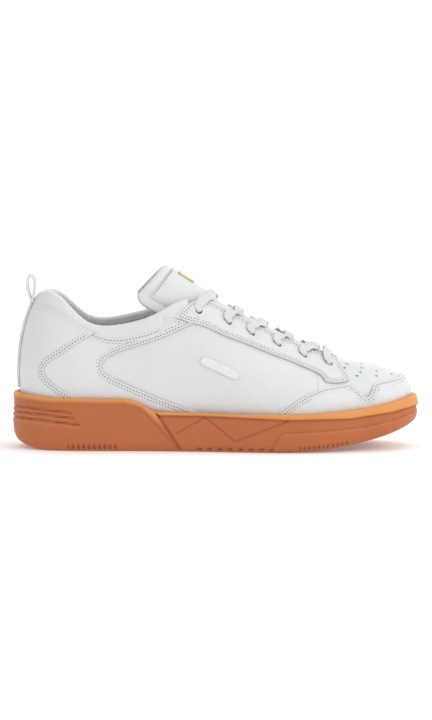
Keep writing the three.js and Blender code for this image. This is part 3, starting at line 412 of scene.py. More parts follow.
def triangulated(rim, loops, sites):
    """Points and triangles of the area inside the rim and outside the loops."""
    plan = np.concatenate([rim, *loops, *sites])
    edges, start = [(i, (i + 1) % len(rim)) for i in range(len(rim))], len(rim)
    for loop in loops:
        edges += [(start + i, start + (i + 1) % len(loop)) for i in range(len(loop))]
        start += len(loop)
    result = delaunay_2d_cdt([Vector(p) for p in (plan * PLAN_SCALE)], edges, [], 1, 1e-4)
    flat = np.array([tuple(p) for p in result[0]]) / PLAN_SCALE
    triangles = np.array([tuple(f) for f in result[2]], dtype=int)
    centre = flat[triangles].mean(axis=1)
    keep = inside(centre, rim)
    for loop in loops:
        keep &= ~inside(centre, loop)
    triangles = triangles[keep]
    used = np.unique(triangles)
    remap = np.full(len(flat), -1)
    remap[used] = np.arange(len(used))
    return flat[used], remap[triangles]


def panel(name, outline, base, thick, material, holes=(), rows=(2.0, 3.9), edge=0.7, sink=0.5, wave=1.0,
          step=1.7, groove=0.16, form=None, plain_rim=0.0):
    """A leather panel: outline is a closed (w, v) path. holes is a list of (w, v, radius). rows are the
    distances of stitched grooves from the outline. form may add height at (w, v). No stitch lies within
    plain_rim, in v, of the top edge of the leather."""
    rim = even(outline, 0.8, closed=True)
    area = (rim[:, 0] * np.roll(rim[:, 1], -1) - np.roll(rim[:, 0], -1) * rim[:, 1]).sum()
    if area < 0:
        rim = rim[::-1].copy()
    inward = across(rim, closed=True)
    fine = even(rim, 0.3, closed=True)
    targets = skin(fine[:, 0], fine[:, 1])
    loops = [circle(w, v, radius, radius) for w, v, radius in holes]
    if loops:
        ring = np.concatenate(loops)
        targets = np.concatenate([targets, skin(ring[:, 0], ring[:, 1])])
    sites = panel_sites(rim, inward, targets, holes, step)
    flat, triangles = triangulated(rim, loops, sites)
    w, v = flat[:, 0], flat[:, 1]
    space = skin(w, v)
    distance = nearest(space, targets)
    profile = 0.3 + 0.7 * np.sqrt(1 - (1 - np.clip(distance / edge, 0, 1)) ** 2)
    height = base + thick * profile
    height = height - 0.12 * np.exp(-distance / 2.0) * (distance > edge)
    at_collar = smoothstep(v - leather_top(w), -0.16, -0.04)
    # painted shade: darker along the outline and in the stitched grooves, less towards the collar
    shade = 0.9 * np.exp(-(distance / 0.45) ** 2) * (1 - at_collar)
    for row in rows:
        height -= groove * np.exp(-((distance - row) / 0.45) ** 2)
        shade += 0.18 * np.exp(-((distance - row) / 0.5) ** 2)
    height += undulation(space, wave) * smoothstep(distance, 0.5, 7)
    if form is not None:
        height += form(w, v, space)
    fine_rim = even(rim, 0.5, closed=True)
    fine_inward = across(fine_rim, closed=True)
    for row in rows:
        line = fine_rim + fine_inward * row
        spots = skin(line[:, 0], line[:, 1])
        line = line[(nearest(spots, targets) > 0.94 * row) & inside(line, rim) & (line[:, 1] > 0.7)
                    & (line[:, 1] < leather_top(line[:, 0]) - plain_rim)]
        spots = skin(line[:, 0], line[:, 1])
        level = base + thick - groove - 0.1 + undulation(spots, wave) * smoothstep(row, 0.5, 7)
        if form is not None:
            level = level + form(line[:, 0], line[:, 1], spots)
        sew(name, line[:, 0], line[:, 1], level)
    top = layer(w, v, height)
    bottom = layer(w, v, np.full(len(w), base - sink))
    sides = np.concatenate([triangles[:, [0, 1]], triangles[:, [1, 2]], triangles[:, [2, 0]]])
    keys = sides[:, 0] * len(w) + sides[:, 1]
    mirrored = sides[:, 1] * len(w) + sides[:, 0]
    open_sides = sides[~np.isin(keys, mirrored)]
    n = len(w)
    wall = np.stack([open_sides[:, 1], open_sides[:, 0], open_sides[:, 0] + n, open_sides[:, 1] + n], axis=1)
    faces = [triangles, triangles[:, ::-1] + n, wall]
    # painted shade: the cut wall and the underside are darkened too
    piece = make(name, np.concatenate([top, bottom]), faces, material,
                 shade=np.concatenate([shade, 1.3 * (1 - 0.8 * at_collar)]))
    return piece


# ---- Materials ------------------------------------------------------------------------------------

class Look:
    """A procedural material: sockets are given as numbers, colours or outputs of other nodes."""

    def __init__(self, name, **fixed):
        self.material = bpy.data.materials.new(name)
        self.material.use_nodes = True
        self.tree = self.material.node_tree
        self.shader = self.tree.nodes["Principled BSDF"]
        self.space = self.node("ShaderNodeTexCoord").outputs["Object"]
        for socket, value in fixed.items():
            self.shader.inputs[socket.replace("_", " ")].default_value = value

    def node(self, kind, **inputs):
        made = self.tree.nodes.new(kind)
        for socket, value in inputs.items():
            self.set(made.inputs[socket.replace("_", " ")], value)
        return made

    def set(self, socket, value):
        if isinstance(value, bpy.types.NodeSocket):
            self.tree.links.new(value, socket)
        elif isinstance(value, tuple) and len(value) == 3 and socket.type == "RGBA":
            socket.default_value = (*value, 1)
        else:
            socket.default_value = value

    def stretched(self, scale, turn=(0, 0, 0)):
        made = self.node("ShaderNodeMapping", Vector=self.space)
        made.inputs["Scale"].default_value = scale
        made.inputs["Rotation"].default_value = turn
        return made.outputs[0]

    def noise(self, scale, detail=3, rough=0.5, space=None, distortion=0.0):
        return self.node("ShaderNodeTexNoise", Vector=space or self.space, Scale=scale, Detail=detail,
                         Roughness=rough, Distortion=distortion).outputs["Fac"]

    def cells(self, scale, space=None, feature="F1", randomness=1.0):
        made = self.node("ShaderNodeTexVoronoi", Vector=space or self.space, Scale=scale,
                         Randomness=randomness)
        made.feature = feature
        return made.outputs["Distance"]

    def math(self, kind, a, b=0.0, clamp=False):
        made = self.tree.nodes.new("ShaderNodeMath")
        made.operation, made.use_clamp = kind, clamp
        self.set(made.inputs[0], a)
        self.set(made.inputs[1], b)
        return made.outputs[0]

    def wave(self, scale, space=None, direction="X", distortion=0.0):
        made = self.node("ShaderNodeTexWave", Vector=space or self.space, Scale=scale,
                         Distortion=distortion)
        made.bands_direction = direction
        return made.outputs["Fac"]

    def blend(self, share, first, second):
        made = self.tree.nodes.new("ShaderNodeMix")
        made.data_type = "RGBA"
        self.set(made.inputs[0], share)
        self.set(made.inputs[6], first)
        self.set(made.inputs[7], second)
        return made.outputs[2]

    def spread(self, value, low, high, start=0.0, end=1.0):
        made = self.node("ShaderNodeMapRange", Value=value)
        for key, number in (("From Min", low), ("From Max", high), ("To Min", start), ("To Max", end)):
            made.inputs[key].default_value = number
        return made.outputs[0]

    def attribute(self, name):
        made = self.tree.nodes.new("ShaderNodeAttribute")
        made.attribute_name = name
        return made.outputs["Fac"]

    def colour(self, value):
        self.set(self.shader.inputs["Base Color"], value)

    def rough(self, value):
        self.set(self.shader.inputs["Roughness"], value)

    def bump(self, *layers):
        """layers are (height, strength, distance in millimetres), applied one over the other."""
        below = None
        for height, strength, distance in layers:
            made = self.node("ShaderNodeBump", Height=height, Strength=strength, Distance=distance * MM)
            if below is not None:
                self.tree.links.new(below, made.inputs["Normal"])
            below = made.outputs["Normal"]
        self.tree.links.new(below, self.shader.inputs["Normal"])


def leather(name, colour, dark, grain=1.0, rough=0.42):
    look = Look(name, Specular_IOR_Level=0.42, Coat_Weight=0.06, Coat_Roughness=0.35,
                Subsurface_Weight=0.05, Subsurface_Scale=0.002)
    pebbles = look.cells(720, feature="DISTANCE_TO_EDGE")
    pores = look.noise(2600, detail=2)
    folds = look.noise(90, detail=4, rough=0.6)
    tone = look.noise(28, detail=3)
    # painted shade: the shade attribute blends the colour towards dark along panel edges, cut walls, stitched
    # grooves and collar seams
    painted_shade = look.math("MULTIPLY", look.attribute("shade"), 0.65, clamp=True)
    mottled = look.blend(look.spread(tone, 0.35, 0.7), colour, tuple(c * 0.972 for c in colour))
    look.colour(look.blend(painted_shade, mottled, dark))
    look.rough(look.spread(look.math("ADD", look.noise(160), look.math("MULTIPLY", pores, 0.4)),
                           0.4, 1.0, rough - 0.06, rough + 0.1))
    look.bump((look.spread(pebbles, 0, 0.12), 0.5 * grain, 0.16), (pores, 0.16 * grain, 0.05),
              (folds, 0.25, 0.35))
    return look.material


def thread(name, colour):
    look = Look(name, Sheen_Weight=0.2, Sheen_Roughness=0.5)
    twist = look.wave(900, look.stretched((1, 1, 1), (0.4, 0.3, 0.7)), "DIAGONAL")
    look.colour(look.blend(look.spread(look.noise(500), 0.3, 0.7), colour, tuple(c * 0.93 for c in colour)))
    look.rough(look.spread(twist, 0, 1, 0.5, 0.65))
    look.bump((twist, 0.4, 0.08))
    return look.material


def textile(name, colour, dark, scale=800.0, rough=0.85, lift=0.25):
    """A close knit: staggered cells over a fine fuzz."""
    look = Look(name, Sheen_Weight=0.35, Sheen_Roughness=0.45, Specular_IOR_Level=0.25)
    knit = look.cells(scale, look.stretched((1, 1, 0.8)), randomness=0.8)
    fuzz = look.noise(3000, detail=2)
    hollow = look.spread(knit, 0.25, 0.65)
    tone = look.spread(look.noise(40), 0.35, 0.7)
    base = look.blend(tone, colour, tuple(c * 0.95 for c in colour))
    # painted shade: the hollows between the loops are blended towards dark
    look.colour(look.blend(look.math("MULTIPLY", hollow, 0.8), base, dark))
    look.rough(look.spread(fuzz, 0.3, 0.7, rough - 0.08, rough + 0.06))
    look.bump((look.math("MULTIPLY", hollow, -1), 0.7, lift), (fuzz, 0.3, 0.1))
    return look.material


def woven(name, colour, dark):
    """Webbing: strands run along the attribute "along" and cross at "across", both in millimetres."""
    look = Look(name, Sheen_Weight=0.25, Sheen_Roughness=0.4, Specular_IOR_Level=0.3)
    along, across_it = look.attribute("along"), look.attribute("across")
    rib = look.math("SINE", look.math("MULTIPLY", across_it, 2 * math.pi / 0.85))
    shifted = look.math("ADD", look.math("MULTIPLY", along, 2 * math.pi / 1.15),
                        look.math("MULTIPLY", across_it, math.pi / 0.85))
    weft = look.math("SINE", shifted)
    plait = look.math("ADD", look.math("MULTIPLY", rib, weft), look.math("MULTIPLY", rib, 0.35))
    fuzz = look.noise(2500, detail=2)
    pit = look.spread(plait, -0.2, -1.1)
    # painted shade: the pits of the weave are blended towards dark
    look.colour(look.blend(look.math("MULTIPLY", pit, 0.55, clamp=True), colour, dark))
    look.rough(look.spread(fuzz, 0.3, 0.7, 0.68, 0.85))
    look.bump((plait, 0.6, 0.22), (fuzz, 0.25, 0.1))
    return look.material


def rubber(name, colour, deep, light):
    look = Look(name, Specular_IOR_Level=0.38, Subsurface_Weight=0.1, Subsurface_Scale=0.003)
    look.shader.inputs["Subsurface Radius"].default_value = (1.0, 0.5, 0.2)
    cloud = look.noise(22, detail=4)
    speck = look.noise(1200, detail=2)
    body = look.blend(look.spread(cloud, 0.3, 0.7), colour, tuple(c * 0.93 for c in colour))
    # painted highlight: the glow attribute lightens the lip, the raised bands and the ridges beside the
    # grooves
    lit = look.blend(look.math("MULTIPLY", look.attribute("glow"), 1.0, clamp=True), body, light)
    # painted shade: the shade attribute darkens the grooves, notches and the inside of the cup
    look.colour(look.blend(look.math("MULTIPLY", look.attribute("shade"), 1.0, clamp=True), lit, deep))
    look.rough(look.spread(look.math("ADD", look.noise(300), look.math("MULTIPLY", speck, 0.5)),
                           0.5, 1.1, 0.46, 0.66))
    look.bump((speck, 0.18, 0.06), (look.noise(140, detail=4), 0.15, 0.25))
    return look.material


def foil(name, colour, rough=0.34):
    look = Look(name, Metallic=0.85)
    brushed = look.noise(60, detail=4, space=look.stretched((1, 1, 14)))
    look.colour(look.blend(look.spread(look.noise(200), 0.35, 0.7), colour, tuple(c * 0.82 for c in colour)))
    look.rough(look.spread(brushed, 0.3, 0.7, rough - 0.06, rough + 0.12))
    look.bump((look.cells(1400, feature="DISTANCE_TO_EDGE"), 0.25, 0.08), (brushed, 0.2, 0.05))
    return look.material


def plastic(name, colour, rough=0.35):
    look = Look(name, Coat_Weight=0.15, Coat_Roughness=0.2)
    look.colour(look.blend(look.spread(look.noise(150), 0.35, 0.7), colour, tuple(c * 0.94 for c in colour)))
    look.rough(look.spread(look.noise(400), 0.3, 0.7, rough - 0.05, rough + 0.12))
    look.bump((look.noise(700, detail=3), 0.12, 0.06))
    return look.material


WHITE = leather("smooth white leather", (0.745, 0.755, 0.765), (0.36, 0.37, 0.38))
WHITE_SOFT = leather("soft collar leather", (0.74, 0.75, 0.76), (0.42, 0.43, 0.44), grain=0.7, rough=0.5)
THREAD = thread("white thread", (0.83, 0.83, 0.83))
# painted shade: a dark grey knit for the discs that stand for the shade inside needle holes and perforations
HOLE_SHADE = textile("painted needle-hole shade", (0.24, 0.24, 0.25), (0.12, 0.12, 0.12))
LINING = textile("white knit lining", (0.74, 0.74, 0.75), (0.42, 0.42, 0.44))
# painted shade: a darker copy of the white knit lining, used for the tongue's lining, which lies in shade
SHADED_LINING = textile("knit lining with painted shade", (0.64, 0.64, 0.66), (0.38, 0.38, 0.40))
SOCK = textile("insole cover knit", (0.66, 0.66, 0.67), (0.38, 0.38, 0.39), scale=600.0)
LACE_WEAVE = woven("woven lace", (0.80, 0.81, 0.82), (0.56, 0.57, 0.58))
WEB_WEAVE = woven("woven webbing", (0.80, 0.80, 0.80), (0.42, 0.42, 0.43))
GUM = rubber("gum rubber", (0.50, 0.148, 0.046), (0.20, 0.045, 0.014), (0.74, 0.30, 0.08))
GOLD = foil("gold foil", (0.62, 0.42, 0.16))
AGLET = plastic("clear white tip", (0.78, 0.78, 0.79))
RING = plastic("white eyelet ring", (0.80, 0.80, 0.80))


# ---- Upper panels ---------------------------------------------------------------------------------

HEEL_EDGE = [[-86, 86.6], [-97, 79.9], [-109.3, 71.7], [-120.5, 64.2], [-123.3, 60.5], [-123.9, 57.2],
             [-121.9, 53.2], [-117.4, 49.2], [-109.3, 43.7], [-104.8, 41.5], [-92, 35], [-82, 28.5]]
REAR_EDGE = [[-17.8, 91.6], [-26, 88], [-36.1, 83.6], [-46.3, 80], [-56.5, 76.5], [-66.6, 73.4],
             [-75.8, 69.4], [-80.9, 65.6], [-82.5, 62], [-81.3, 58.3], [-76.8, 54.6], [-66.6, 50],
             [-56.5, 45.7], [-44.3, 40.6], [-32, 36.2], [-19.9, 31.5], [-8, 26], [-4, 24]]
EYESTAY_EDGE = [[-36.7, 97.6], [-26, 96], [-15.8, 92.7], [4.5, 85], [24.8, 77], [45.2, 68.7], [65.5, 60.6],
                [75.6, 56], [78.7, 53.5], [81.7, 49.8]]
EYESTAY_FRONT = [[98, 50.4], [95, 58], [91, 63.5]]
TOE_EDGE = [[42, 20], [44, 24], [48.2, 28.5], [54.3, 33.5], [63.4, 39.2], [73.6, 43.7], [83.8, 46],
            [98.4, 47.6], [102, 45.8], [106.1, 42.4], [110.8, 39.4], [114.2, 41.8], [116, 45.8],
            [118.5, 48.4], [126.4, 49.8], [134.6, 51]]
SEAM_X = 76  # where the vamp tucks under the quarters
HOLE_RIBS = [6.15, 7.17, 7.86, 8.64, 9.44, 10.38]
EYELETS = len(HOLE_RIBS)
HOLE_INSET, HOLE_RADIUS = 11.0, 2.6
# Side-view heights are seen from 5 degrees above: a point nearer the axis than SIDE_Y looks higher.
SIDE_Y, VIEW_SINE, VIEW_COSINE = 48, 0.0872, 0.996
VAMP_DROP, PRICK_TOP, PRICK_RADIUS = 3.3, 3.72, 0.75
PERFORATIONS = [[97.4, 68.2], [97.6, 64.7], [95.7, 62], [108.1, 65.3], [108.4, 61.9], [107.3, 58.8],
                [104.7, 56.1], [118.8, 63.5], [119.5, 59.7], [119.1, 56.1], [129.5, 61.1], [130.5, 57.4]]


def on_side(w, side):
    return w if side < 0 else TURN - w


def seam(points, side):
    """A smooth (w, v) path through side-view points."""
    return curve(locate(points, side), spacing=0.04)


def rim_line(start, end, lift=0.0):
    """Along the top edge of the leather between two w."""
    w = np.linspace(start, end, max(4, int(abs(end - start) * 12)))
    return np.stack([w, leather_top(w) - lift], axis=1)


def foot_line(start, end, v=0.3):
    w = np.linspace(start, end, max(4, int(abs(end - start) * 6)))
    return np.stack([w, np.full(len(w), v)], axis=1)


def seam_front(side, x):
    """The vertical seam at x, from the foot to the throat."""
    v = np.linspace(0.1, TOP, 24)
    ws = np.linspace(8, 12, 161)
    path = []
    for height in v:
        xs = skin(on_side(ws, side), height)[:, 0]
        path.append((on_side(float(np.interp(x, xs, ws)), side), height))
    return np.array(path)


def hole_v(w):
    return below_top(w, HOLE_INSET)


EYELET_HOLES = {side: [(on_side(w, side), hole_v(on_side(w, side)), HOLE_RADIUS) for w in HOLE_RIBS]
                for side in (-1, 1)}
SIDE_NAMES = {-1: "lateral", 1: "medial"}

for side, side_name in SIDE_NAMES.items():
    start = 0.0 if side < 0 else float(TURN)
    front = seam_front(side, SEAM_X)
    quarter = np.concatenate([foot_line(start, front[0, 0], 0.1), front, rim_line(front[-1, 0], start)[1:]])
    piece = panel("quarter_" + side_name, quarter, -1.0, 1.0, WHITE, EYELET_HOLES[side], rows=(), edge=0.15,
                  wave=1.2)
    stand_for(piece, "white_leather", "quarter_" + side_name)

    lower = seam(EYESTAY_EDGE, side)
    cap = seam(EYESTAY_EDGE[-1:] + EYESTAY_FRONT, side)
    throat = rim_line(cap[-1, 0] + (0.25 if side < 0 else -0.25), lower[0, 0], 0.02)
    eyestay = np.concatenate([lower, cap[1:], throat])

    def over_rear(w, v, space):
        return 0.9 * (1 - smoothstep(space[:, 0], -17, -9))

    piece = panel("eyestay_" + side_name, eyestay, 0.1, 1.75, WHITE, EYELET_HOLES[side], rows=(1.9, 3.7),
                  edge=0.8, form=over_rear)
    stand_for(piece, "white_leather", "eyestay_" + side_name)

    rear = seam(REAR_EDGE, side)
    tuck = seam([[-36.7, 99.5], [-26, 97.6], [-17.8, 94.6], [-13.5, 93.0]], side)
    rear_outline = np.concatenate([tuck, rear, foot_line(rear[-1, 0], start)[1:],
                                   rim_line(start, tuck[0, 0], 0.03)])
    piece = panel("rear_quarter_" + side_name, rear_outline, 0.1, 1.6, WHITE, rows=(2.0, 4.0), edge=0.8,
                  plain_rim=0.13)
    stand_for(piece, "white_leather", "rear_quarter_" + side_name)

vamp_sides = {side: seam_front(side, SEAM_X - 4) for side in (-1, 1)}
vamp = np.concatenate([foot_line(vamp_sides[-1][0, 0], vamp_sides[1][0, 0], 0.1), vamp_sides[1],
                       rim_line(vamp_sides[1][-1, 0], vamp_sides[-1][-1, 0])[1:], vamp_sides[-1][::-1]])


def tucked(w, v, space):
    return -0.14 * (1 - smoothstep(space[:, 0], SEAM_X + 0.5, SEAM_X + 6))


pricks = []
for x, z in PERFORATIONS:
    for side in (-1, 1):
        height = z - VAMP_DROP
        for _ in range(3):
            w, v = locate([[x, height]], side)[0]
            height = (z - (SIDE_Y - abs(skin(w, v)[1])) * VIEW_SINE) / VIEW_COSINE
        if side < 0 or abs(skin(w, v)[1]) > 1.8:
            pricks.append((w, min(v, PRICK_TOP), PRICK_RADIUS))
piece = panel("vamp", vamp, -1.0, 1.0, WHITE, pricks, rows=(), edge=0.4, form=tucked)
stand_for(piece, "white_leather", "vamp")


def toe_fullness(w, v, space):
    return 1.8 * (1 - smoothstep(v, 1.0, 2.2)) * smoothstep(space[:, 0], 90, 132)


toe_sides = {side: seam(TOE_EDGE, side) for side in (-1, 1)}
toe_mid = locate([[136.5, 52.4]], -1)[0]
toe_outline = np.concatenate([toe_sides[-1], [[TOE - 0.25, toe_mid[1]], [TOE, toe_mid[1]],
                                              [TOE + 0.25, toe_mid[1]]], toe_sides[1][::-1],
                              foot_line(toe_sides[1][0, 0], toe_sides[-1][0, 0])[1:-1]])
piece = panel("toe_overlay", toe_outline, 0.1, 1.6, WHITE, rows=(2.0, 4.0), edge=0.8, form=toe_fullness)
stand_for(piece, "white_leather", "toe_overlay")

heel_sides = {side: seam(HEEL_EDGE, side) for side in (-1, 1)}
heel_sides[1][:, 0] -= TURN
heel_outline = np.concatenate([heel_sides[-1], foot_line(heel_sides[-1][-1, 0], heel_sides[1][-1, 0])[1:-1],
                               heel_sides[1][::-1],
                               rim_line(heel_sides[1][0, 0], heel_sides[-1][0, 0], 0.05)[1:-1]])
piece = panel("heel_overlay", heel_outline, 1.3, 1.5, WHITE, rows=(2.0, 4.0), edge=0.8, plain_rim=0.42)
stand_for(piece, "white_leather", "heel_overlay")


# ---- Lofted pieces --------------------------------------------------------------------------------

def slab(name, top, bottom, material, shade=None, body=SHOE, closed=False, extra=None, sharp=42):
    """A closed sheet from two grids of points, its outer face and its inner face."""
    rows, columns = top.shape[:2]
    n = rows * columns
    face = grid_faces(rows, columns, closed)
    faces = [face, face[:, ::-1] + n]
    index = np.arange(n).reshape(rows, columns)
    borders = [index[0], index[-1][::-1]]
    if not closed:
        borders += [index[::-1, 0], index[:, -1]]
    for line in borders:
        follow = np.roll(line, -1) if closed else line[1:]
        here = line if closed else line[:-1]
        faces.append(np.stack([here, here + n, follow + n, follow], axis=1))
    points = np.concatenate([top.reshape(-1, 3), bottom.reshape(-1, 3)])
    both = None if shade is None else np.concatenate([shade.ravel(), shade.ravel()])
    extra = {key: np.concatenate([value.ravel(), value.ravel()]) for key, value in (extra or {}).items()}
    return make(name, points, faces, material, body, both, sharp=sharp, extra=extra)


def rounded(distance, radius):
    """Share of the full height at a distance from a rolled edge."""
    return np.sqrt(np.clip(1 - (1 - np.clip(distance / radius, 0, 1)) ** 2, 0, 1))


# ---- Tongue ---------------------------------------------------------------------------------------

TONGUE_RIDGE = [[97, 55], [86, 64], [74.4, 72.4], [58, 79.6], [39, 88.8], [20.7, 98.2], [4.5, 106.6],
                [-4.6, 113.4], [-15.8, 121.4], [-28, 129.4], [-36.5, 135]]
RIDGE_Y = GRADE_Y
TONGUE_HALF_WIDTH = (17, 40)
TONGUE_RADIUS = (13, 20.5)
TONGUE_TURN = (0.9, 1.4)
FREE_FROM = (0.62, 0.85)
CHANNEL, SECOND_CHANNEL = 6.5, 8.4  # stitched grooves, from the free edge
SEAM_INSET = 7.4


def centripetal(points, count=400):
    """Evenly spaced points and tangents of a centripetal Catmull-Rom curve."""
    p = np.asarray(points, float)
    p = np.concatenate([[2 * p[0] - p[1]], p, [2 * p[-1] - p[-2]]])
    dense = []
    for i in range(1, len(p) - 2):
        p0, p1, p2, p3 = p[i - 1:i + 3]
        t01, t12, t23 = (max(np.linalg.norm(b - a), 1e-6) ** 0.5 for a, b in ((p0, p1), (p1, p2), (p2, p3)))
        m1 = p2 - p1 + t12 * ((p1 - p0) / t01 - (p2 - p0) / (t01 + t12))
        m2 = p2 - p1 + t12 * ((p3 - p2) / t23 - (p3 - p1) / (t12 + t23))
        t = np.linspace(0, 1, 40, endpoint=i == len(p) - 3)[:, None]
        dense.append((2 * t**3 - 3 * t**2 + 1) * p1 + (t**3 - 2 * t**2 + t) * m1
                     + (3 * t**2 - 2 * t**3) * p2 + (t**3 - t**2) * m2)
    dense = np.concatenate(dense)
    walked = walked_along(dense)
    at = np.linspace(0, walked[-1], count)
    path = sample(at, walked, dense)
    return path, unit(np.gradient(path, axis=0)), walked[-1]


RIDGE, RIDGE_TANGENT, RIDGE_LENGTH = centripetal([[x, RIDGE_Y, z] for x, z in TONGUE_RIDGE])


def tongue_point(t, across, depth):
    """Points of the tongue: t from its root to its tip, across in millimetres, depth below its face."""
    t, across, depth = np.broadcast_arrays(*(np.asarray(a, float) for a in (t, across, depth)))
    share = np.clip(t, 0, 1) * (len(RIDGE) - 1)
    at = np.stack([np.interp(share, np.arange(len(RIDGE)), RIDGE[:, k]) for k in range(3)], axis=-1)
    tangent = np.stack([np.interp(share, np.arange(len(RIDGE)), RIDGE_TANGENT[:, k]) for k in range(3)], -1)
    up = np.stack([tangent[..., 2], np.zeros_like(t), -tangent[..., 0]], axis=-1)
    opened = smoothstep(t, *FREE_FROM)
    radius = TONGUE_RADIUS[0] + (TONGUE_RADIUS[1] - TONGUE_RADIUS[0]) * opened
    turn = TONGUE_TURN[0] + (TONGUE_TURN[1] - TONGUE_TURN[0]) * opened
    angle = np.clip(across / radius, -turn, turn)
    wing = across - angle * radius
    rise = (radius - depth) * np.cos(angle) - radius - np.abs(wing) * np.sin(turn)
    sideways = (radius - depth) * np.sin(angle) + wing * np.cos(turn)
    return at + up * rise[..., None] + np.stack([0 * t, sideways, 0 * t], axis=-1)


def ridge_at(x):
    return float(np.interp(-x, -RIDGE[:, 0], np.linspace(0, 1, len(RIDGE))))


def tongue_width(t):
    wide = TONGUE_HALF_WIDTH[0] + (TONGUE_HALF_WIDTH[1] - TONGUE_HALF_WIDTH[0]) * np.minimum(1, t / 0.8)
    corner = np.sqrt(np.maximum(0, 1 - (np.maximum(t - 0.93, 0) / 0.075) ** 2))
    return wide * (0.8 + 0.2 * corner)


TONGUE_SWEEP = np.array([-7.0, 0, -2.0])  # how far the corners of its top edge reach back


def swept(t, s):
    """How far back a point goes, t along the tongue and s from edge (-1) to edge (1)."""
    return (smoothstep(t, FREE_FROM[0], 1.0) * np.abs(s) ** 1.6)[..., None] * TONGUE_SWEEP


def tongue_grid(depth_at, rows=190, columns=121, shrink=0.0):
    t = np.linspace(0.03, 1, rows)[:, None] * np.ones((1, columns))
    s = np.linspace(-1, 1, columns)[None, :] * np.ones((rows, 1))
    across = s * (tongue_width(t) - shrink)
    border = np.minimum((1 - np.abs(s)) * tongue_width(t), (1 - t) * RIDGE_LENGTH)
    points = tongue_point(t, across, depth_at(t, across, border))
    return points + swept(t, s), t, across, border


def tongue_top_depth(t, across, border):
    """The padded face: puffed, with a stitched channel round its free edge."""
    puff = 1.1 * rounded(border - CHANNEL, 8) * smoothstep(t, 0.55, 0.75)
    channel = (0.7 * np.exp(-((border - CHANNEL) / 0.8) ** 2)
               + 0.45 * np.exp(-((border - SECOND_CHANNEL) / 0.5) ** 2))
    roll = 1.7 * (1 - rounded(border, 2.6))
    folds = 0.25 * np.sin(t * 60 + 0.05 * across) * np.exp(-((t - 0.68) / 0.1) ** 2)
    return roll + channel - puff + folds + 0.2


def tongue_back_depth(t, across, border):
    return 5.9 - 1.9 * (1 - rounded(border, 3.0)) - 0.6 * np.exp(-((border - CHANNEL) / 1.0) ** 2)


def tongue_middle(t, across, border):
    return 3.1 - 0.4 * (1 - rounded(border, 2.0))


face_top, _, _, face_border = tongue_grid(tongue_top_depth)
face_mid = tongue_grid(tongue_middle)[0]
face_low = tongue_grid(tongue_back_depth)[0]
# painted shade in the two stitched channels of the tongue's face
face_shade = (0.55 * np.exp(-((face_border - CHANNEL) / 0.5) ** 2)
              + 0.12 * np.exp(-((face_border - SECOND_CHANNEL) / 0.5) ** 2))
tongue_face = slab("tongue", face_top, face_mid, WHITE_SOFT, face_shade, body=None)
tongue_back = slab("tongue_lining", face_mid, face_low, SHADED_LINING, body=None)
for piece, nodes, finish in ((tongue_face, ("tongue_face", "tongue_top_face", "tongue_foam",
                                            "tongue_top_foam"), "white_leather"),
                             (tongue_back, ("tongue_lining", "tongue_top_lining"), "white_lining")):
    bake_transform(piece)
    stand_for(piece, finish, *nodes)


seam_s = np.linspace(-0.8, 0.8, 160)
seam_t = 1 - SEAM_INSET / RIDGE_LENGTH - 0.012 * np.abs(seam_s) ** 3
seam_across = seam_s * tongue_width(seam_t)
seam_depth = tongue_top_depth(seam_t, seam_across, np.full(len(seam_s), SEAM_INSET)) - 0.05
seam_sweep = swept(seam_t, seam_s)
seam_line = tongue_point(seam_t, seam_across, seam_depth) + seam_sweep
seam_up = unit(seam_line - tongue_point(seam_t, seam_across, seam_depth + 1) - seam_sweep)

# ---- Collar, linings and insole -------------------------------------------------------------------

CROWN_RISE = 3.0
LINED_INNER = -3.4


def collar_depth(w, v):
    low = padded_to(w)
    swell = np.sin(np.pi * (v - low) / (TOP - low + 0.4) * 0.85 + 0.35)
    return 1.2 + 0.3 + 0.8 + COLLAR_PAD * np.maximum(0.25, collar_share(w)) * np.maximum(swell, 0.3)


def roll_level(w):
    """The collar's outside lies level with the overlays that it meets."""
    from_heel = np.abs(w)
    return (1.5 + 1.1 * (1 - smoothstep(from_heel, 1.9, 2.6))) * (0.35 + 0.65 * taper(w))


def taper(w):
    return 0.55 + 0.45 * (1 - smoothstep(np.abs(w), COLLAR_END - 0.75, COLLAR_END + 0.1))


def collar_section(w, inset):
    """Points of the collar's section at each w: outside, crown, inside, shrunk by inset."""
    outside_rows, crown_rows, inside_rows = 14, 15, 30
    low_out = leather_top(w) - 0.05
    rings = []
    for k in range(outside_rows):
        share = k / (outside_rows - 1)
        v = low_out + (TOP - low_out) * share
        rings.append(layer(w, v, roll_level(w) * (1 - 0.4 * share**2) - 0.35 * (1 - share) ** 6 - inset))
    up = unit(skin(w, np.full(len(w), TOP)) - skin(w, np.full(len(w), TOP - 0.1)))
    top = np.full(len(w), float(TOP))
    outer = roll_level(w) * 0.6 - inset
    inner = -collar_depth(w, top) + inset
    middle, half = (outer + inner) / 2, (outer - inner) / 2
    for k in range(1, crown_rows):
        angle = np.pi * k / crown_rows
        rings.append(layer(w, top, middle + half * np.cos(angle))
                     + up * ((CROWN_RISE * taper(w) - inset * 0.9) * np.sin(angle))[:, None])
    for k in range(inside_rows):
        v = TOP + (padded_to(w) - TOP) * k / (inside_rows - 1)
        rings.append(layer(w, v, -collar_depth(w, v) + inset))
    return np.stack(rings), outside_rows + crown_rows


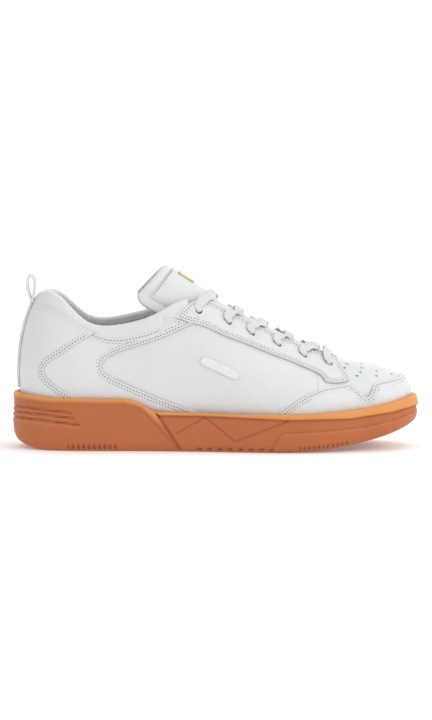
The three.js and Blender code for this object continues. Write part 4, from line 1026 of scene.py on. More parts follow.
collar_w = np.linspace(-COLLAR_END - 0.1, COLLAR_END + 0.1, COLLAR_STEPS)
skin_ring, crown_end = collar_section(collar_w, 0.0)
ends = np.minimum(np.arange(COLLAR_STEPS), np.arange(COLLAR_STEPS)[::-1]) / 10.0
pinch = (1 - rounded(ends, 1.0))[None, :, None]
round_it = np.linspace(0, 9, len(skin_ring))[:, None]
creases = 0.09 * np.sin(collar_w * 21 + 2 * np.sin(collar_w * 5)) * np.sin(round_it)
outward = unit(np.cross(np.gradient(skin_ring, axis=1), np.gradient(skin_ring, axis=0)))
skin_ring = skin_ring + outward * creases[..., None]
core_ring, _ = collar_section(collar_w, 1.6)
skin_ring = skin_ring * (1 - pinch) + core_ring * pinch
split = crown_end + 2
row_shade = np.zeros(skin_ring.shape[:2])
# painted shade: darker where the collar rolls out from under the overlays, and on its first rows inside the
# shoe
row_shade[:2] = 0.12
row_shade[split - 3:split] = 0.35
collar = slab("collar", skin_ring[:split], core_ring[:split], WHITE_SOFT, row_shade[:split])
stand_for(collar, "white_leather", "collar_foam")
inside_roll = slab("collar_lining", skin_ring[split - 1:], core_ring[split - 1:], LINING)
stand_for(inside_roll, "white_lining", "collar_lining")

lining = {}
for side, side_name in SIDE_NAMES.items():
    w0 = 0.0 if side < 0 else float(TURN)
    edge_path = seam_front(side, SEAM_X)
    w = np.linspace(w0, edge_path[len(edge_path) // 2, 0], 150)
    top_v = np.where(collar_share(w) > 0.02, padded_to(w) + 0.05, TOP - 0.03)
    outline = np.concatenate([foot_line(w0, w[-1], 0.12), np.stack([w, top_v], axis=1)[::-1]])
    piece = panel("quarter_lining_" + side_name, outline, LINED_INNER, 0.8, LINING, EYELET_HOLES[side],
                  rows=(), edge=0.3, sink=0.3, wave=0.6, step=2.6)
    stand_for(piece, "white_lining", "quarter_lining_" + side_name, *(("heel_counter",) if side < 0 else ()))
    lining[side] = w[-1]

w = np.linspace(lining[-1], lining[1], 160)
outline = np.concatenate([foot_line(lining[-1], lining[1], 0.12),
                          np.stack([w, np.full(len(w), TOP - 0.03)], axis=1)[::-1]])
piece = panel("vamp_lining", outline, LINED_INNER, 0.8, LINING, rows=(), edge=0.3, sink=0.3, wave=0.6,
              step=2.6)
stand_for(piece, "white_lining", "vamp_lining", "toe_puff")

INSOLE_RISE, INSOLE_INSET, INSOLE_THICK = 7.0, 4.4, 3.2
cw = np.arange(0, TURN, TURN / 240)
rim_points = layer(cw, np.zeros(len(cw)), np.full(len(cw), -INSOLE_INSET))
rim_points[:, 2] += INSOLE_RISE
spine = rim_points.copy()
spine[:, 1] = 1.0
shares = np.linspace(0, 1, 26)
insole_top = np.stack([rim_points + (spine - rim_points) * s - [0, 0, 0.9 * (1 - rounded(s * 30, 3))]
                       for s in shares[:-1]])
insole_low = insole_top - [0, 0, INSOLE_THICK]


def capped(name, top, bottom, material):
    """A closed disc: rings run inward to a seam down the middle."""
    rows, columns = top.shape[:2]
    n = rows * columns
    face = grid_faces(rows, columns, True)
    index = np.arange(n).reshape(rows, columns)
    rim, mid = index[0], index[-1]
    half = columns // 2
    stitch = []
    for k in range(1, half - 1):
        stitch.append([mid[k], mid[k + 1], mid[columns - k - 1], mid[columns - k]])
    stitch = np.array(stitch)
    tips = np.array([[mid[0], mid[1], mid[columns - 1]], [mid[half - 1], mid[half], mid[half + 1]]])
    follow = np.roll(rim, -1)
    wall = np.stack([rim, rim + n, follow + n, follow], axis=1)
    points = np.concatenate([top.reshape(-1, 3), bottom.reshape(-1, 3)])
    return make(name, points, [face, stitch, tips, face[:, ::-1] + n, stitch[:, ::-1] + n,
                               tips[:, ::-1] + n, wall], material)


insole = capped("insole", insole_top, insole_low, SOCK)
stand_for(insole, "white_lining", "insole_cover", "insole_foam", "strobel_board", "midsole_foam")


# ---- Lace -----------------------------------------------------------------------------------------

LACE_WIDTH, LACE_THICK, LACE_BUNCHED = 7.4, 1.25, 3.4
OVERLAY_OUTER = 1.5
LACE_LIFT, CROSS_LIFT, LOOP_RISE = 1.0, 1.7, 2.2
UNDER = LINED_INNER - 0.3 - LACE_THICK / 2 - 0.3
SHARE_OVER, SHARE_UNDER, DIVE = 0.22, 0.8, 3.4
END_V, END_RUN, END_SPREAD = (3, 2.2, 1.4, 0.8), 16, 8
AGLET_RADIUS, AGLET_LENGTH = 1.6, 20.0


def hole_rib(k):
    return float(np.interp(k, np.arange(1, EYELETS + 1), HOLE_RIBS)) if k <= EYELETS else \
        HOLE_RIBS[-1] + (k - EYELETS) * 0.9


def to_toe(w, v, side):
    return unit(skin(w - side * 0.1, v) - skin(w + side * 0.1, v))


def hole(k, side):
    w = on_side(hole_rib(k), side)
    v = hole_v(w)
    return skin(w, v), normal(w, v), to_toe(w, v, side)


def throat_edge(k, side, offset):
    w = on_side(hole_rib(k), side)
    return layer(w, TOP - 0.05, offset), to_toe(w, TOP, side)


def through_hole(k, side):
    at, out, toe = hole(k, side)
    inward = unit(throat_edge(k, side, 0)[0] - at)
    rows = [(UNDER - 0.3, 0.6, LACE_BUNCHED, 1.25), (-0.5, -0.3, LACE_BUNCHED, 1.25),
            (OVERLAY_OUTER + LOOP_RISE * 0.55, 0.3, LACE_BUNCHED * 1.25, 1.2),
            (OVERLAY_OUTER + LOOP_RISE * 0.8, 3.4, LACE_WIDTH * 0.88, 1.0)]
    return [(at + out * depth + inward * shift, toe, width, LACE_THICK * thick)
            for depth, shift, width, thick in rows]


def ridge_to_toe(t):
    share = t * (len(RIDGE) - 1)
    return -np.array([np.interp(share, np.arange(len(RIDGE)), RIDGE_TANGENT[:, i]) for i in range(3)])


def strand(k, side):
    over, over_toe = throat_edge(k + SHARE_OVER, side, OVERLAY_OUTER + LACE_LIFT + 1.3)
    under, under_toe = throat_edge(k + SHARE_UNDER, -side, UNDER)
    inward = unit(under - hole(k + 1, -side)[0])
    dive = under + inward * DIVE
    half = abs(over[1])
    middle = (over[0] + under[0]) / 2
    lift = LACE_LIFT + 0.4 + (CROSS_LIFT if (k + (1 if side > 0 else 0)) % 2 else 0)
    t = ridge_at(middle)
    toe = ridge_to_toe(t)
    return [(over, over_toe, LACE_WIDTH, LACE_THICK),
            (tongue_point(t, side * half * 0.45, -lift), toe, LACE_WIDTH, LACE_THICK),
            (tongue_point(ridge_at(middle + 1), -side * half * 0.2, -lift), toe, LACE_WIDTH, LACE_THICK),
            (dive, under_toe, LACE_WIDTH * 0.9, LACE_THICK),
            (under, under_toe, LACE_WIDTH * 0.8, LACE_THICK)]


def lace_end(side):
    w = on_side(hole_rib(1) - 0.05, side)
    toe = hole(1, side)[2]
    lying = float(layer(w, 0.0, -INSOLE_INSET)[2]) + INSOLE_RISE + 0.8 + AGLET_RADIUS + 0.4
    wall = [(layer(w, v, UNDER - 1), toe, LACE_WIDTH * 0.7, LACE_THICK) for v in END_V]
    foot = layer(w, 0.4, UNDER - 3.5)
    floor = [(np.array([foot[0] - side * END_SPREAD * i, foot[1] - side * END_RUN * i, lying]),
              np.array([1.0, 0, 0]), LACE_BUNCHED * 0.7 if i else LACE_WIDTH * 0.7, LACE_THICK)
             for i in (0, 1)]
    return wall + floor


def half_lace(first):
    points = lace_end(first)[::-1]
    for k in range(1, EYELETS + 1):
        side = first if k % 2 else -first
        points += through_hole(k, side)
        if k < EYELETS:
            points += strand(k, side)
    return points


def bar(share):
    w = hole_rib(EYELETS)
    x = float(skin(w, TOP)[0]) + 1
    t = ridge_at(x)
    toe = ridge_to_toe(t)
    at = (throat_edge(EYELETS + 0.1, share, OVERLAY_OUTER + LACE_LIFT + 1.3)[0] if share
          else tongue_point(t, 0.0, -LACE_LIFT - 4))
    return at, toe, LACE_WIDTH * 0.9, LACE_THICK


LACE_SIDES = 28
LACE_STEP = 0.45


def flat_lace(route):
    """A flat woven band through the route: grid of rings, with distances along and across it."""
    stops = np.array([p[0] for p in route])
    gaps = np.sqrt(np.linalg.norm(np.diff(stops, axis=0), axis=1))
    knots = np.concatenate([[0], np.cumsum(gaps)])
    columns = np.concatenate([stops, np.array([p[1] for p in route]),
                              np.array([[p[2], p[3]] for p in route])], axis=1)
    path = centripetal(np.concatenate([stops, knots[:, None] * 1e-3], axis=1), 6000)[0]
    knot_at = path[:, 3] * 1e3
    walked = walked_along(path[:, :3])
    count = int(walked[-1] / LACE_STEP)
    at = np.linspace(0, walked[-1], count)
    centre = sample(at, walked, path[:, :3])
    knot = np.interp(at, walked, knot_at)
    rest = sample(knot, knots, columns[:, 3:8])
    soft = np.exp(-np.linspace(-2, 2, 13) ** 2)
    soft /= soft.sum()
    rest = np.stack([np.convolve(np.pad(rest[:, i], 6, mode="edge"), soft, mode="valid")
                     for i in range(5)], axis=1)
    tangent = unit(np.gradient(centre, axis=0))
    wide = rest[:, :3]
    wide = unit(wide - tangent * (wide * tangent).sum(1, keepdims=True))
    thick = unit(np.cross(tangent, wide))
    angles = 2 * np.pi * (np.arange(LACE_SIDES) + 0.5) / LACE_SIDES
    c, s = np.cos(angles), np.sin(angles)
    flat = np.sign(c) * np.abs(c) ** 0.62
    round_ = np.sign(s) * np.abs(s) ** 0.75
    across_mm = flat[None] * rest[:, 3:4] / 2
    plait = 0.07 * np.sin(at / 1.15 * 2 * np.pi + across_mm.T * 3.7).T * np.abs(round_)[None]
    cup = 0.35 * (flat[None] ** 2 - 0.4) * np.ones((count, 1))
    body_height = round_[None] * rest[:, 4:5] / 2 * (1 - 0.15 * flat[None] ** 2)
    height = body_height + plait * np.sign(round_)[None] - cup
    points = (centre[:, None] + wide[:, None] * across_mm[..., None] + thick[:, None] * height[..., None])
    return points, at[:, None] * np.ones((1, LACE_SIDES)), across_mm


route = half_lace(1) + [bar(-1), bar(0), bar(1)] + half_lace(-1)[::-1]
lace_points, lace_along, lace_across = flat_lace(route)


def tube(name, rings, material, extra=None, sharp=60):
    """A closed tube of rings, each end closed by a fan."""
    rows, columns = rings.shape[:2]
    faces = grid_faces(rows, columns, True)[:, ::-1]
    caps = []
    for row, flip in ((0, False), (rows - 1, True)):
        base = row * columns
        fan = np.array([[base, base + k, base + k + 1] for k in range(1, columns - 1)])
        caps.append(fan if not flip else fan[:, ::-1])
    return make(name, rings.reshape(-1, 3), [faces, np.concatenate(caps)], material,
                sharp=sharp, extra={k: v.ravel() for k, v in (extra or {}).items()})


lace = tube("lace", lace_points, LACE_WEAVE, extra={"along": lace_along, "across": lace_across})
stand_for(lace, "white_webbing", "lace")


def turned_rod(name, start, end, radii, material, sides=28):
    """A round bar whose radius follows radii, a list of (share of the length, radius)."""
    axis = unit(end - start)
    side_a = unit(np.cross(axis, [0.1, 0.2, 1.0]))
    side_b = np.cross(axis, side_a)
    angles = 2 * np.pi * np.arange(sides) / sides
    circle = side_a * np.cos(angles)[:, None] + side_b * np.sin(angles)[:, None]
    rings = np.stack([start + (end - start) * share + circle * radius for share, radius in radii])
    return tube(name, rings, material, sharp=35)


for side, side_name in SIDE_NAMES.items():
    tip = lace_end(side)[-1][0]
    begin = tip + np.array([0, -side * 0.6, 0])
    finish = begin + np.array([0, -side * AGLET_LENGTH, 0])
    profile = [(0, 0.9), (0.005, 1.35), (0.02, AGLET_RADIUS), (0.06, AGLET_RADIUS), (0.07, 1.5), (0.09, 1.5),
               (0.1, AGLET_RADIUS), (0.9, 1.52), (0.96, 1.45), (0.99, 1.15), (1, 0.7)]
    aglet = turned_rod("aglet_" + side_name, begin, finish, profile, AGLET)
    stand_for(aglet, "white_plastic", "aglet_" + side_name)


# ---- Eyelet rings, badges, label, heel strip and pull loop -----------------------------------------

RING_RADIUS = 4.4
RING_STEPS, RING_SIDES = 72, 16
for side, side_name in SIDE_NAMES.items():
    at, out, toe = hole(1, side)
    up = unit(np.cross(out, toe))
    turns = 2 * np.pi * np.arange(RING_STEPS) / RING_STEPS
    section = 2 * np.pi * np.arange(RING_SIDES) / RING_SIDES
    mid_r, half_r, half_h = (RING_RADIUS + HOLE_RADIUS) / 2, (RING_RADIUS - HOLE_RADIUS) / 2 + 0.05, 0.75
    ring = np.stack([at + (toe * np.cos(a) + up * np.sin(a)) * (mid_r + half_r * np.cos(section))[:, None]
                     + out * (1.95 + half_h * np.sin(section))[:, None] for a in turns])
    index = np.arange(RING_STEPS * RING_SIDES).reshape(RING_STEPS, RING_SIDES)
    after, beside = np.roll(index, -1, axis=0), np.roll(index, -1, axis=1)
    faces = np.stack([index, beside, np.roll(after, -1, axis=1), after], axis=-1).reshape(-1, 4)
    piece = make("eyelet_ring_" + side_name, ring.reshape(-1, 3), faces, RING)
    stand_for(piece, "white_plastic", "eyelet_ring_" + side_name)

STRIP_HALF, STRIP_TOP = 0.21, 3.62


def strip_points(offset, rows=150, columns=33):
    v = np.linspace(1.0, STRIP_TOP, rows)[:, None] * np.ones((1, columns))
    w = np.linspace(-STRIP_HALF, STRIP_HALF, columns)[None, :] * np.ones((rows, 1))
    return layer(w, v, offset * np.ones_like(v)), v, w


reference = strip_points(0)[0]
walk_v = walked_along(reference[:, 16])
walk_w = (reference[:, -1, 1] - reference[:, 0, 1]) / 2
along_mm = walk_v[:, None] * np.ones((1, 33))
across_mm = np.linspace(-1, 1, 33)[None] * np.abs(walk_w)[:, None]
border = np.minimum(np.abs(walk_w)[:, None] - np.abs(across_mm),
                    np.minimum(along_mm, along_mm[-1] - along_mm))
strip_height = 3.2 + 1.2 * (0.35 + 0.65 * rounded(border, 0.8)) - 0.25 * np.exp(-((border - 1.6) / 0.3) ** 2)
strip = slab("heel_strip", strip_points(strip_height)[0], strip_points(3.05)[0], WEB_WEAVE,
             extra={"along": along_mm, "across": across_mm})
stand_for(strip, "white_webbing", "heel_strip")

LOOP_PATH = [[-134.6, 107.5], [-136.6, 113], [-137.8, 121], [-136.6, 125.2], [-135, 126],
             [-133.4, 125.2], [-132.3, 121], [-133, 113], [-133.9, 107.5]]
LOOP_HALF, WEBBING = 6.0, 1.8
LOOP_STEPS, LOOP_COLUMNS = 180, 33
loop_line, loop_tangent, loop_length = centripetal([[x, 0, z] for x, z in LOOP_PATH], LOOP_STEPS)
loop_out = np.stack([-loop_tangent[:, 2], 0 * loop_tangent[:, 0], loop_tangent[:, 0]], axis=1)
loop_across = np.linspace(-1, 1, LOOP_COLUMNS) * LOOP_HALF
loop_along = np.linspace(0, loop_length, LOOP_STEPS)[:, None] * np.ones((1, LOOP_COLUMNS))
side_border = (LOOP_HALF - np.abs(loop_across))[None] * np.ones((LOOP_STEPS, 1))
half_thick = WEBBING / 2 * (0.35 + 0.65 * rounded(side_border, 0.7))
lines = loop_line[:, None] + np.array([0, 1.0, 0]) * loop_across[None, :, None]
pull_loop = slab("pull_loop", lines + loop_out[:, None] * half_thick[..., None],
                 lines - loop_out[:, None] * half_thick[..., None], WEB_WEAVE, body="pull_loop",
                 extra={"along": loop_along, "across": loop_across[None] * np.ones((LOOP_STEPS, 1))})
stand_for(pull_loop, "white_webbing", "pull_loop")


# ---- Cup sole -------------------------------------------------------------------------------------

LIP_LINE = np.array([[-150, 42], [-118, 39.2], [-65, 38.6], [-57, 36.8], [-46, 30.2], [-40, 29.2], [15, 28.2],
                     [66, 28.3], [90, 29.6], [108, 31.5], [126, 34.5], [141, 37.5], [152, 39.5]])
CUP_INNER, SOLE_COLUMNS = 3.3, 900
# The wall's section: offset from the upper, height over the ground, share of the way up to the lip.
WALL = [(0.2, 0, 0), (3.2, 0.25, 0), (5.2, 1.6, 0), (6.6, 4.2, 0), (7.3, 8, 0), (7.6, 12, 0), (7.5, 12, 0.3),
        (7.1, 12, 0.6), (6.4, 12, 0.86), (5.6, 12, 0.97), (4.8, 12, 1.0), (3.9, 12, 0.99), (3.35, 12, 0.93),
        (CUP_INNER, 12, 0.6), (CUP_INNER, 5, 0)]
# Lines on the wall, seen square from the side: [x, height], height as it looks from 5 degrees above.
HEEL_BAND = [[-152, 40.8], [-144.8, 39.9], [-126, 36.7], [-66.7, 35.7], [-58, 34.0], [-52.6, 31.4],
             [-32.3, 9.4], [-27.5, 3.5], [-25, 0]]
DIAGONAL = [[-46, 31.5], [-43.4, 28.8], [-26.8, 3.9], [-24, 0]]
FORE_BAND = [[-43.4, 28.0], [-40.6, 26.8], [-10.5, 26.6], [54.9, 23.4], [98.6, 24.4], [130, 29.4],
             [152, 35.6]]
HEEL_RIBS = ([[-152, 34.4], [-135, 32.3], [-104.7, 28.5]], [[-152, 30.5], [-135, 28.6], [-102.3, 24.6]],
             [[-152, 26.5], [-135, 24.4], [-98.8, 19.9]])
ZIGZAG = ([[-28.2, 13.9], [-8.4, 25.1], [-5.6, 24.4], [14.6, 7.8], [53.3, 22.8]],)
FACET = [[41.8, 2.0], [44, 7.5], [50.6, 13.5], [76.7, 14.6], [109.5, 17.9], [134.6, 23.9], [150, 31]]


def ground(x):
    """Height of the tread's edge: it rises towards the toe and a little at the back of the heel."""
    return 0.0019 * np.maximum(x - 50, 0) ** 2 + 0.009 * np.maximum(-x - 121, 0) ** 2


def along_line(points, line):
    """Signed distance to a side-view line (positive above it) and the share walked along it."""
    line = np.asarray(line, float)
    best = np.full(len(points), 1e9)
    sign, share = np.ones(len(points)), np.zeros(len(points))
    lengths = np.linalg.norm(np.diff(line, axis=0), axis=1)
    walked = np.concatenate([[0], np.cumsum(lengths)])
    for i in range(len(line) - 1):
        a, b = line[i], line[i + 1]
        d = b - a
        t = np.clip(((points - a) @ d) / (d @ d), 0, 1)
        miss = points - (a + t[:, None] * d)
        distance = np.linalg.norm(miss, axis=1)
        closer = distance < best
        best = np.where(closer, distance, best)
        side = np.sign(d[0] * miss[:, 1] - d[1] * miss[:, 0])
        sign = np.where(closer, np.where(side == 0, 1, side), sign)
        share = np.where(closer, (walked[i] + t * lengths[i]), share)
    return best * sign, share


def wall_relief(x, y, z):
    """Height, painted shade and painted highlight of the sculpted wall."""
    seen = np.stack([x + SHIFT[0], VIEW_COSINE * z + (SIDE_Y - np.abs(y)) * VIEW_SINE], axis=1)
    relief, dark, glow = np.zeros(len(x)), np.zeros(len(x)), np.zeros(len(x))
    band, _ = along_line(seen, HEEL_BAND)
    diagonal, _ = along_line(seen, DIAGONAL)
    fore, _ = along_line(seen, FORE_BAND)
    left = (seen[:, 0] < -44) | (diagonal < 0)
    heel_raised = smoothstep(band, -0.9, 0.9) * np.where(left, 1.0, 0.0)
    fore_raised = smoothstep(fore, -0.55, 0.55) * np.where(left, 0.0, 1.0)
    relief += 0.95 * heel_raised + 0.95 * fore_raised
    # painted highlight on the lip and the raised bands; painted shade in the grooves, notches and teeth below
    in_lip = np.where(left, smoothstep(band, -1, 3) * smoothstep(seen[:, 1], 14, 33),
                      smoothstep(fore, -0.3, 1.5))
    glow += in_lip
    on_heel = (seen[:, 0] < -46) | (seen[:, 1] < 29)
    cut = np.exp(-(diagonal / 0.75) ** 2) * on_heel * (seen[:, 1] < 29.5)
    relief -= 0.9 * cut
    dark += 0.75 * cut
    low = np.exp(-((fore + 0.7) / 0.7) ** 2) * ~left
    relief -= 0.3 * low
    dark += 0.4 * low + 0.15 * np.exp(-((band + 1.0) / 0.9) ** 2) * left
    for line in HEEL_RIBS:
        distance, walked = along_line(seen, line)
        total = np.linalg.norm(np.diff(line, axis=0), axis=1).sum()
        inside_line = smoothstep(total - walked, 0.05, 1.2)
        groove = np.exp(-(distance / 0.85) ** 2) * inside_line
        ridge = np.exp(-((distance + 1.9) / 0.9) ** 2) * inside_line
        relief += -1.0 * groove + 0.35 * ridge
        dark += 0.6 * groove
        glow += 0.3 * ridge
    for line in ZIGZAG:
        distance, _ = along_line(seen, line)
        groove = np.exp(-(distance / 0.55) ** 2)
        relief -= 0.4 * groove
        dark += 0.6 * groove
    facet, _ = along_line(seen, FACET)
    below = smoothstep(-facet, -0.5, 0.5) * smoothstep(seen[:, 0], 40, 44)
    relief += 0.8 * below
    dark += 0.35 * np.exp(-((facet - 0.6) / 0.55) ** 2) * smoothstep(seen[:, 0], 41, 44)
    glow += 0.22 * np.exp(-((facet + 0.7) / 0.7) ** 2) * smoothstep(seen[:, 0], 44, 50)
    over = z - ground(x)
    for start, end, pitch, tall in ((-108, -71, 3.85, 5.2), (62, 98, 3.4, 4.6)):
        phase = np.cos((seen[:, 0] - start) / pitch * 2 * np.pi)
        inside_row = ((seen[:, 0] > start) & (seen[:, 0] < end)).astype(float)
        notch = smoothstep(phase, 0.0, 0.75) * smoothstep(tall - over, 0, 0.8) * inside_row
        relief -= 1.1 * notch
        dark += 0.5 * notch
    saw = ((seen[:, 0] + 18) / 7.6) % 1.0
    teeth = smoothstep(saw, 0.45, 0.6) * smoothstep(3.6 - over - 1.5 * (1 - saw), 0, 0.6)
    teeth *= (seen[:, 0] > -18) & (seen[:, 0] < 43)
    relief -= 1.2 * teeth
    dark += 0.55 * teeth
    return relief, dark, glow


probe_w = np.linspace(0, TURN, 2601)
probe = layer(probe_w, np.ones(2601), np.full(2601, 7.0))
walked = walked_along(probe)
sole_w = np.interp(np.arange(SOLE_COLUMNS) / SOLE_COLUMNS * walked[-1], walked, probe_w)

section = curve(np.array(WALL) * [1, 1, 30], spacing=0.35)
section_shape = section * [1, 1, 1 / 30]
travel = walked_along(np.stack([section_shape[:, 0], section_shape[:, 1] + section_shape[:, 2] * 20], 1))
wall_rows = 66
at = np.linspace(0, travel[-1], wall_rows)
section_at = sample(at, travel, section_shape)
base_line = skin(sole_w, np.ones(SOLE_COLUMNS))
base_normal = normal(sole_w, np.ones(SOLE_COLUMNS))
wall_points, wall_dark, wall_glow = [], [], []
near_heel = smoothstep(-base_line[:, 0], 74, 90)
for offset, over, share in section_at:
    tuck_in = (1.45 * (1 - near_heel) + 0.1) * float(smoothstep(-offset, -5.2, -3.5)) * (share > 0.5)
    ring = base_line + base_normal * (offset - tuck_in)[:, None]
    lip = np.interp(ring[:, 0], LIP_LINE[:, 0], LIP_LINE[:, 1])
    low = ground(ring[:, 0])
    ring[:, 2] = low + over + (lip - low - 12) * share
    relief, dark, glow = wall_relief(ring[:, 0], ring[:, 1], ring[:, 2])
    outside = float(smoothstep(offset, 4.6, 5.6)) if share < 0.99 else 0.0
    if over >= 12 and share < 0.97 and offset < 3.7 or (over < 12 and offset <= CUP_INNER and share == 0
                                                        and over > 3):
        outside = 0.0
    flat_normal = unit(base_normal * [1, 1, 0])
    ring = ring + flat_normal * (relief * outside)[:, None]
    wall_points.append(ring)
    # painted shade in the grooves and on the inside of the cup; painted highlight on the lip's crown
    wall_dark.append(dark * outside + (0.3 if offset < 3.6 and share > 0 else 0))
    wall_glow.append(glow * outside + (1 - outside) * (1.0 if share > 0.9 else 0.2))

tread_rows = 28
foot_ring = wall_points[0]
middle = foot_ring * [0.86, 0.02, 1] + [0, 1, 0]
middle[:, 2] = ground(middle[:, 0])
tread_points, tread_dark = [], []
for k in range(tread_rows):
    share = k / tread_rows
    ring = middle + (foot_ring - middle) * share
    ring[:, 2] = ground(ring[:, 0])
    u = (ring[:, 0] + 0.55 * np.abs(ring[:, 1] - 1)) / 8.5
    saw = np.abs((u % 1.0) - 0.5) * 2
    groove = smoothstep(saw, 0.72, 0.86) * smoothstep(1 - share, 0.02, 0.09)
    strip_gap = smoothstep(np.abs(ring[:, 1] - 1), 2.5, 3.3)
    border = np.exp(-((share - 0.86) / 0.03) ** 2) * 0.8
    depth = np.maximum(groove * strip_gap * (share < 0.84), border)
    ring[:, 2] += 1.5 * depth
    tread_points.append(ring)
    # painted shade in the tread's grooves
    tread_dark.append(0.6 * depth)

floor_ring = wall_points[-1]
floor_middle = middle.copy()
floor_middle[:, 2] = ground(floor_middle[:, 0]) + 5
floor_points = [floor_ring + (floor_middle - floor_ring) * share for share in (0.33, 0.66, 1.0)]
rows = np.stack(tread_points + wall_points + floor_points)
# dark carries the painted shade and glow the painted highlight into the gum material
dark = np.stack(tread_dark + wall_dark + [np.zeros(SOLE_COLUMNS)] * 3)
glow = np.stack([np.full(SOLE_COLUMNS, 0.35)] * tread_rows + wall_glow + [np.zeros(SOLE_COLUMNS)] * 3)
count = rows.shape[0]
half = SOLE_COLUMNS // 2


def spine_faces(first, flip):
    ks = np.arange(1, half - 1)
    quads = first + np.stack([ks, ks + 1, SOLE_COLUMNS - ks - 1, SOLE_COLUMNS - ks], axis=1)
    tips = first + np.array([[0, 1, SOLE_COLUMNS - 1], [half - 1, half, half + 1]])
    return (quads[:, ::-1], tips[:, ::-1]) if flip else (quads, tips)


low_quads, low_tips = spine_faces(0, True)
high_quads, high_tips = spine_faces((count - 1) * SOLE_COLUMNS, False)
sole_faces = [grid_faces(count, SOLE_COLUMNS, True)[:, ::-1], low_quads, low_tips, high_quads, high_tips]
sole = make("outsole", rows.reshape(-1, 3), sole_faces, GUM, shade=dark, extra={"glow": glow})
stand_for(sole, "gum_rubber", "outsole_cup")


# ---- Stitching, painted shade in needle holes and perforations, badges and label --------------------

THREAD_SIDES = 7
THREAD_SHAPE = ((0.0, 0.35, -0.22), (0.08, 0.75, -0.02), (0.3, 1.0, 0.16), (0.7, 1.0, 0.16),
                (0.92, 0.75, -0.02), (1.0, 0.35, -0.22))


def threads(name, starts, ends, lift, material, radius=0.27, body=SHOE, finish="white_leather"):
    """One mesh of many short threads, each arched from its start to its end."""
    count = len(starts)
    way = ends - starts
    along = unit(way)
    side = unit(np.cross(lift, along))
    up = np.cross(along, side)
    angles = 2 * np.pi * np.arange(THREAD_SIDES) / THREAD_SIDES
    rings = []
    for share, thick, rise in THREAD_SHAPE:
        centre = starts + way * share + up * rise
        circle = (side[:, None] * np.cos(angles)[None, :, None] * 1.15
                  + up[:, None] * np.sin(angles)[None, :, None])
        rings.append(centre[:, None] + radius * thick * circle)
    points = np.stack(rings, axis=1).reshape(-1, 3)
    block = len(THREAD_SHAPE) * THREAD_SIDES
    faces = grid_faces(len(THREAD_SHAPE), THREAD_SIDES, True)[:, ::-1]
    fan = np.array([[0, k, k + 1] for k in range(1, THREAD_SIDES - 1)])
    caps = np.concatenate([fan, (fan + block - THREAD_SIDES)[:, ::-1]])
    starts_at = (np.arange(count) * block)[:, None, None]
    many = [(faces[None] + starts_at).reshape(-1, 4), (caps[None] + starts_at).reshape(-1, 3)]
    piece = make(name, points, many, material, body, sharp=70)
    return piece


def dots(name, centres, lift, radius, thick, material, sides=8, body=SHOE):
    """One mesh of many small round discs."""
    a = unit(np.cross(lift, np.array([0.31, 0.52, 0.8])))
    b = np.cross(lift, a)
    angles = 2 * np.pi * np.arange(sides) / sides
    ring = radius * (a[:, None] * np.cos(angles)[None, :, None] + b[:, None] * np.sin(angles)[None, :, None])
    top = centres[:, None] + ring
    low = top - lift[:, None] * thick
    points = np.concatenate([top, low], axis=1).reshape(-1, 3)
    fan = np.array([[0, k, k + 1] for k in range(1, sides - 1)])
    ks = np.arange(sides)
    wall = np.stack([ks, ks + sides, (ks + 1) % sides + sides, (ks + 1) % sides], axis=1)
    starts_at = (np.arange(len(centres)) * 2 * sides)[:, None, None]
    flats = np.concatenate([fan, (fan + sides)[:, ::-1]])
    many = [(wall[None] + starts_at).reshape(-1, 4), (flats[None] + starts_at).reshape(-1, 3)]
    piece = make(name, points, many, material, body, sharp=30)
    return piece


seam_walk = walked_along(seam_line)
seam_at = np.arange(1.0, seam_walk[-1] - 3, STITCH_PITCH)


tongue_marks = (sample(seam_at, seam_walk, seam_line),
                sample(seam_at + STITCH_PITCH - STITCH_GAP, seam_walk, seam_line))
tongue_up = unit(sample(seam_at, seam_walk, seam_up))
threads("tongue_stitches", *tongue_marks, tongue_up, THREAD, body="tongue_top")
# painted shade: dark discs at each end of a stitch stand for the shade in its needle hole
dots("tongue_needle_hole_shade", np.concatenate(tongue_marks) + np.tile(tongue_up, (2, 1)) * 0.1,
     np.tile(tongue_up, (2, 1)), 0.45, 0.3, HOLE_SHADE, body="tongue_top")

names = list(dict.fromkeys(row[0] for row in SEWN))
for owner in names:
    mine = [row for row in SEWN if row[0] == owner]
    starts, ends, lift = (np.concatenate([row[k] for row in mine]) for k in (1, 2, 3))
    threads(owner + "_stitches", starts, ends, lift, THREAD)
    marks = np.concatenate([starts, ends])
    both = np.concatenate([lift, lift])
    # painted shade: dark discs in the needle holes
    dots(owner + "_needle_hole_shade", marks + both * 0.14, both, 0.43, 0.3, HOLE_SHADE)

spots = np.array([(w, v) for w, v, _ in pricks])
lift = normal(spots[:, 0], spots[:, 1])
centres = layer(spots[:, 0], spots[:, 1], np.full(len(spots), -0.62))
# painted shade: dark discs sunk under the perforations stand for the shade inside them
dots("vamp_perforation_shade", centres, lift, 0.95, 0.3, HOLE_SHADE, 12)

